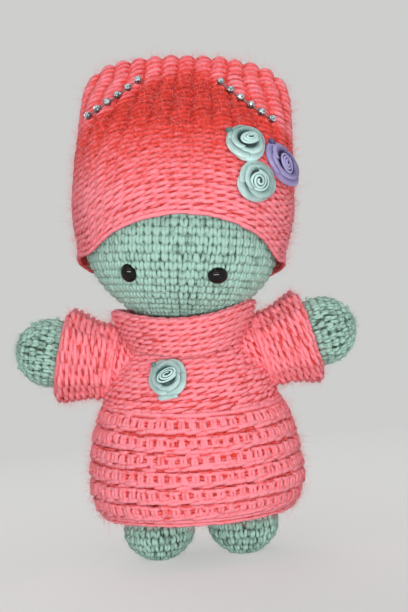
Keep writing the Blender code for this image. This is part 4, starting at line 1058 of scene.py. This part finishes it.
def gem_mesh(name):
    """A table, two rows of facets round it and a point below, each facet with its own painted brightness, a
    painted reflection.
    """
    turn = 2 * np.pi * np.arange(GEM_SIDES) / GEM_SIDES
    verts = []
    for radius, height, share in GEM_RINGS:
        spun = turn + share * 2 * np.pi / GEM_SIDES
        verts += [(radius * math.cos(a), radius * math.sin(a), height) for a in spun]
    verts.append((0, 0, GEM_POINT))
    faces = [tuple(range(GEM_SIDES))]
    for k in range(GEM_SIDES):
        n = (k + 1) % GEM_SIDES
        table, crown, girdle, point = (ring * GEM_SIDES for ring in range(4))
        faces += [(table + k, crown + k, table + n), (table + n, crown + k, crown + n)]
        faces += [(crown + k, girdle + n, crown + n), (crown + k, girdle + k, girdle + n)]
        faces += [(girdle + k, point, girdle + n)]
    mesh = bpy.data.meshes.new(name)
    mesh.from_pydata(verts, [], faces)
    painted_flash = RNG.random(len(faces)).astype(np.float32)
    painted_flash[0] = TABLE_PAINTED_FLASH
    mesh.attributes.new("facet", "FLOAT", "FACE").data.foreach_set("value", painted_flash)
    return mesh


for side, (start, end) in CHAINS.items():
    for number in range(CHAIN_STONES):
        share = number / (CHAIN_STONES - 1)
        aside, up = (a + (b - a) * share for a, b in zip(start, end))
        spot = hat_spot(aside, up, CHAIN_SAG * math.sin(math.pi * share))
        name = f"{side}_gem_{number + 1}"
        mesh = gem_mesh(name)
        mesh.transform(spot @ Matrix.Rotation(RNG.random() * 0.8, 4, "Z"))
        piece(name, mesh, STONE, "hat", (f"{side}_stone_{number + 1}",))
    repaint(f"{side}_rhinestone_chain", SILVER)


# ---- Ribbon roses

RIBBON = 0.00022
# (radius, height) of each kind of petal, from its foot over its rolled rim
INNER_PETAL = ((0.004, 0.001), (0.0052, 0.0042), (0.0064, 0.0056), (0.0079, 0.0053), (0.0088, 0.0041),
               (0.0083, 0.0032))
OUTER_PETAL = ((0.0048, 0.001), (0.0066, 0.003), (0.0085, 0.004), (0.0102, 0.0033), (0.0111, 0.0019),
               (0.0105, 0.0011))
TAIL_PETAL = ((0.005, 0.0008), (0.008, 0.002), (0.0105, 0.0024), (0.0122, 0.0018), (0.0126, 0.001),
              (0.0118, 0.0004))
ROSE_BASE = ((0.0, 0.0024), (0.0062, 0.002), (0.0074, 0.0008), (0.0064, 0.0001), (0.0, 0.0001))
# The heart: its turns, where it starts, its foot and top, how far its lips roll out and fall, its tones,
# which are painted shade, darkest at the spiral's foot and where the lips roll under
HEART_TURNS = 2.9
HEART_START = 0.0004
HEART_FOOT = 0.0012
HEART_TOP = 0.007
LIP_ROLL = 0.0011
LIP_FALL = 0.0009
HEART_TONES = (0.0, 0.05, 0.12, 0.36, 0.8, 1.0, 1.0, 0.93, 0.72, 0.36)


def petal(work, matrix, profile, middle, half_span, reach, tilt):
    """One petal round the rose: its profile runs from its foot to its rolled, uneven rim."""
    line = curve(profile, 15)
    shares = np.linspace(0, 1, len(line))
    across = np.linspace(-1, 1, 21)
    phase = RNG.random() * 6.3
    rows = []
    for share, (r, z) in zip(shares, line):
        edge = 1 - (1 - reach) * np.abs(across) ** 2.6 * share + 0.06 * share * np.sin(3.1 * across + phase)
        angle = middle + half_span * across
        crease = 0.0004 * share * np.sin(5.0 * across + phase)
        rise = z + tilt * across * share + crease
        rows.append(np.stack([r * edge * np.cos(angle), r * edge * np.sin(angle), rise], -1))
    # Painted shade: each petal darkens toward its foot, deep in the rose
    work.sheet(moved(np.array(rows), matrix), np.clip(0.05 + 1.25 * shares, 0, 1), closed=False)


def heart(work, matrix, radius, squeeze, offset):
    """The rose's tight spiral, whose lips roll outward."""
    theta = np.linspace(0, HEART_TURNS * 2 * np.pi, int(HEART_TURNS * 44))
    share = theta / theta[-1]
    lip = HEART_START + (radius - HEART_START) * share**0.9
    lip = lip * (1 + 0.05 * np.sin(2.3 * theta + 1))
    top = HEART_TOP - 0.0011 * share
    rows = [(lip - 0.0003, np.full(len(theta), HEART_FOOT))]
    rows += [(lip - 0.0002 * (1 - w), HEART_FOOT + (top - HEART_FOOT) * w) for w in np.linspace(0.4, 1, 4)]
    for a in np.linspace(0.2, 1, 5) * np.pi * 0.5:
        rows.append((lip + LIP_ROLL * np.sin(a), top - LIP_FALL * (1 - np.cos(a))))
    x, y = offset
    rows = [np.stack([x + r * np.cos(theta), y + r * np.sin(theta) * squeeze, z], -1) for r, z in rows]
    work.sheet(moved(np.array(rows), matrix), HEART_TONES, closed=False)


def rose(name, spot, material, body, node_name, spin=0.0, squeeze=1.0, core=0.0052, offset=(0, 0),
         knob=None, tail=None, size=(1, 1), lean=0.0, shade=1.0):
    """A folded ribbon rose: a spiral heart in two rings of broad petals with rolled rims.

    Knob and tail are the angles of a knot of ribbon and of a loose end beside the rose.
    """
    pressed = Matrix.Rotation(lean, 4, "Z") @ Matrix.Diagonal((*size, 1, 1))
    matrix = spot @ (pressed @ Matrix.Rotation(spin - lean, 4, "Z"))
    work = Yarn()
    heart(work, matrix, core, squeeze, offset)
    for number in range(3):
        petal(work, matrix, INNER_PETAL, 2.1 * number + 0.4 + 0.2 * RNG.random(), 1.35, 0.72, 0.0014)
    for number in range(4):
        middle, reach = 1.57 * number + 0.3 * RNG.random(), 0.8 + 0.1 * RNG.random()
        petal(work, matrix, OUTER_PETAL, middle, 1.05, reach, 0.0014)
    # The base under the petals, at a low tone: painted shade
    work.sheet(lathe(ROSE_BASE, matrix, 32), 0.3)
    if knob is not None:
        turn = matrix @ Matrix.Rotation(knob, 4, "Z") @ Matrix.Translation((0.0104, 0, 0.003))
        ball = [(0.0019 * math.sin(a), -0.0024 * math.cos(a)) for a in np.linspace(0, math.pi, 9)]
        work.sheet(lathe(ball, turn @ Matrix.Diagonal((1, 0.8, 0.8, 1)), 16), 0.45)
    if tail is not None:
        petal(work, matrix, TAIL_PETAL, tail, 0.48, 0.96, 0.0008)
    work.tones = [shade * part for part in work.tones]
    made = piece(name, work, material, body, (node_name,))
    wall = made.modifiers.new("ribbon", "SOLIDIFY")
    wall.thickness = RIBBON
    wall.offset = 0


rose("rose_upper", hat_spot(0.57, 0.64), MINT, "hat", "hat_rose_upper", spin=0.3,
     squeeze=0.62, knob=2.2, offset=(0.0014, 0.0004))
rose("rose_lower", hat_spot(0.664, 0.506), MINT, "hat", "hat_rose_lower", spin=2.2,
     offset=(-0.0001, 0.0008), shade=0.96)
rose("rose_lilac", hat_spot(0.868, 0.58) @ Matrix.Rotation(-0.25, 4, "Y"), LILAC, "hat",
     "hat_rose_lilac", spin=1.2, squeeze=0.7, knob=0.8, size=(1.22, 0.74), lean=-0.95)
rose("rose_chest", front_frame(-0.01, 0.0968, yoke_size), MINT, "body", "chest_rose",
     spin=0.45, squeeze=0.55, core=0.0062, offset=(0.0008, 0.0004), knob=1.9, tail=-2.0, size=(0.93, 0.93))


# ---- Floor, light and camera

STUDIO = (0.617, 0.617, 0.611)
FLOOR_GLOW = 0.44
# The floor turns from lit to plain between these distances from its middle
FLOOR_FADE = (0.25, 0.6)
WORLD_LIGHT = 0.34
AIM = (0, 0, 0.12)


def seen_rays(tree):
    """1 for rays of the camera, of reflections and through clear things."""
    rays = node(tree, "LightPath").outputs
    first = combine(tree, "MAXIMUM", rays["Is Camera Ray"], rays["Is Glossy Ray"])
    return combine(tree, "MAXIMUM", first, rays["Is Transmission Ray"])


def mixed(tree, share, first, second):
    """A mix of two shaders."""
    return node(tree, "MixShader", {0: share, 1: first.outputs[0], 2: second.outputs[0]})


def stage_material():
    """Pale for the camera and in reflections, with the object's soft shadow near its middle."""
    made = bpy.data.materials.new("studio_pale")
    made.use_nodes = True
    tree = made.node_tree
    tree.nodes.clear()
    lit = node(tree, "BsdfDiffuse", {"Color": (0.4, 0.4, 0.395, 1)})
    glow = node(tree, "Emission", {"Color": (1, 1, 0.99, 1), "Strength": FLOOR_GLOW})
    near = node(tree, "AddShader", {0: lit.outputs[0], 1: glow.outputs[0]})
    far = node(tree, "Emission", {"Color": (*STUDIO, 1)})
    distance = node(tree, "VectorMath", {0: object_place(tree)}, "LENGTH").outputs["Value"]
    fade = {"Value": distance, "From Min": FLOOR_FADE[0], "From Max": FLOOR_FADE[1]}
    shown = mixed(tree, node(tree, "MapRange", fade).outputs[0], near, far)
    node(tree, "OutputMaterial", {"Surface": mixed(tree, seen_rays(tree), lit, shown).outputs[0]})
    return made


profile = [(-3.5, 0.0), (-1.5, 0.0), (0.0, 0.0), (0.8, 0.0)]
profile += [(0.8 + 1.2 * math.sin(a), 1.2 - 1.2 * math.cos(a)) for a in np.radians((15, 30, 45, 60, 75, 90))]
profile += [(2.0, 4.0)]
verts = [(x, y, z - 0.0002) for y, z in profile for x in (-4.5, 4.5)]
faces = [(2 * k, 2 * k + 1, 2 * k + 3, 2 * k + 2) for k in range(len(profile) - 1)]
floor_mesh = bpy.data.meshes.new("floor")
floor_mesh.from_pydata(verts, [], faces)
floor_mesh.shade_smooth()
floor_mesh.materials.append(stage_material())
floor = placed("floor", floor_mesh)

world = bpy.data.worlds.new("studio")
bpy.context.scene.world = world
world.use_nodes = True
tree = world.node_tree
lit = tree.nodes["Background"]
lit.inputs["Color"].default_value = (1, 1, 1, 1)
lit.inputs["Strength"].default_value = WORLD_LIGHT
pale = node(tree, "Background", {"Color": (*STUDIO, 1), "Strength": 1.0})
shown = mixed(tree, seen_rays(tree), lit, pale).outputs[0]
tree.links.new(shown, tree.nodes["World Output"].inputs["Surface"])


def lamp(name, place, size, energy):
    data = bpy.data.lights.new(name, "AREA")
    data.shape = "RECTANGLE"
    data.size, data.size_y = size
    data.energy = energy
    made = placed(name, data)
    made.location = place
    made.rotation_euler = (Vector(AIM) - Vector(place)).to_track_quat("-Z", "Y").to_euler()


lamp("key", (0.05, -1.3, 0.06), (1.3, 0.1), 14.0)
lamp("high", (0.03, -1.25, 0.7), (1.2, 0.06), 2.0)
lamp("back", (-0.4, 1.7, 0.8), (1.8, 0.9), 20.0)

camera_data = bpy.data.cameras.new("camera")
camera_data.lens = 76
camera_data.sensor_width = 36
camera = placed("camera", camera_data)
camera.matrix_world = Matrix(
    ((0.9966, 0.082, 0, 0.0112), (0, 0, -1, -0.7), (-0.082, 0.9966, 0, 0.1329), (0, 0, 0, 1))
)
bpy.context.scene.camera = camera
bpy.context.scene.view_settings.view_transform = "Standard"
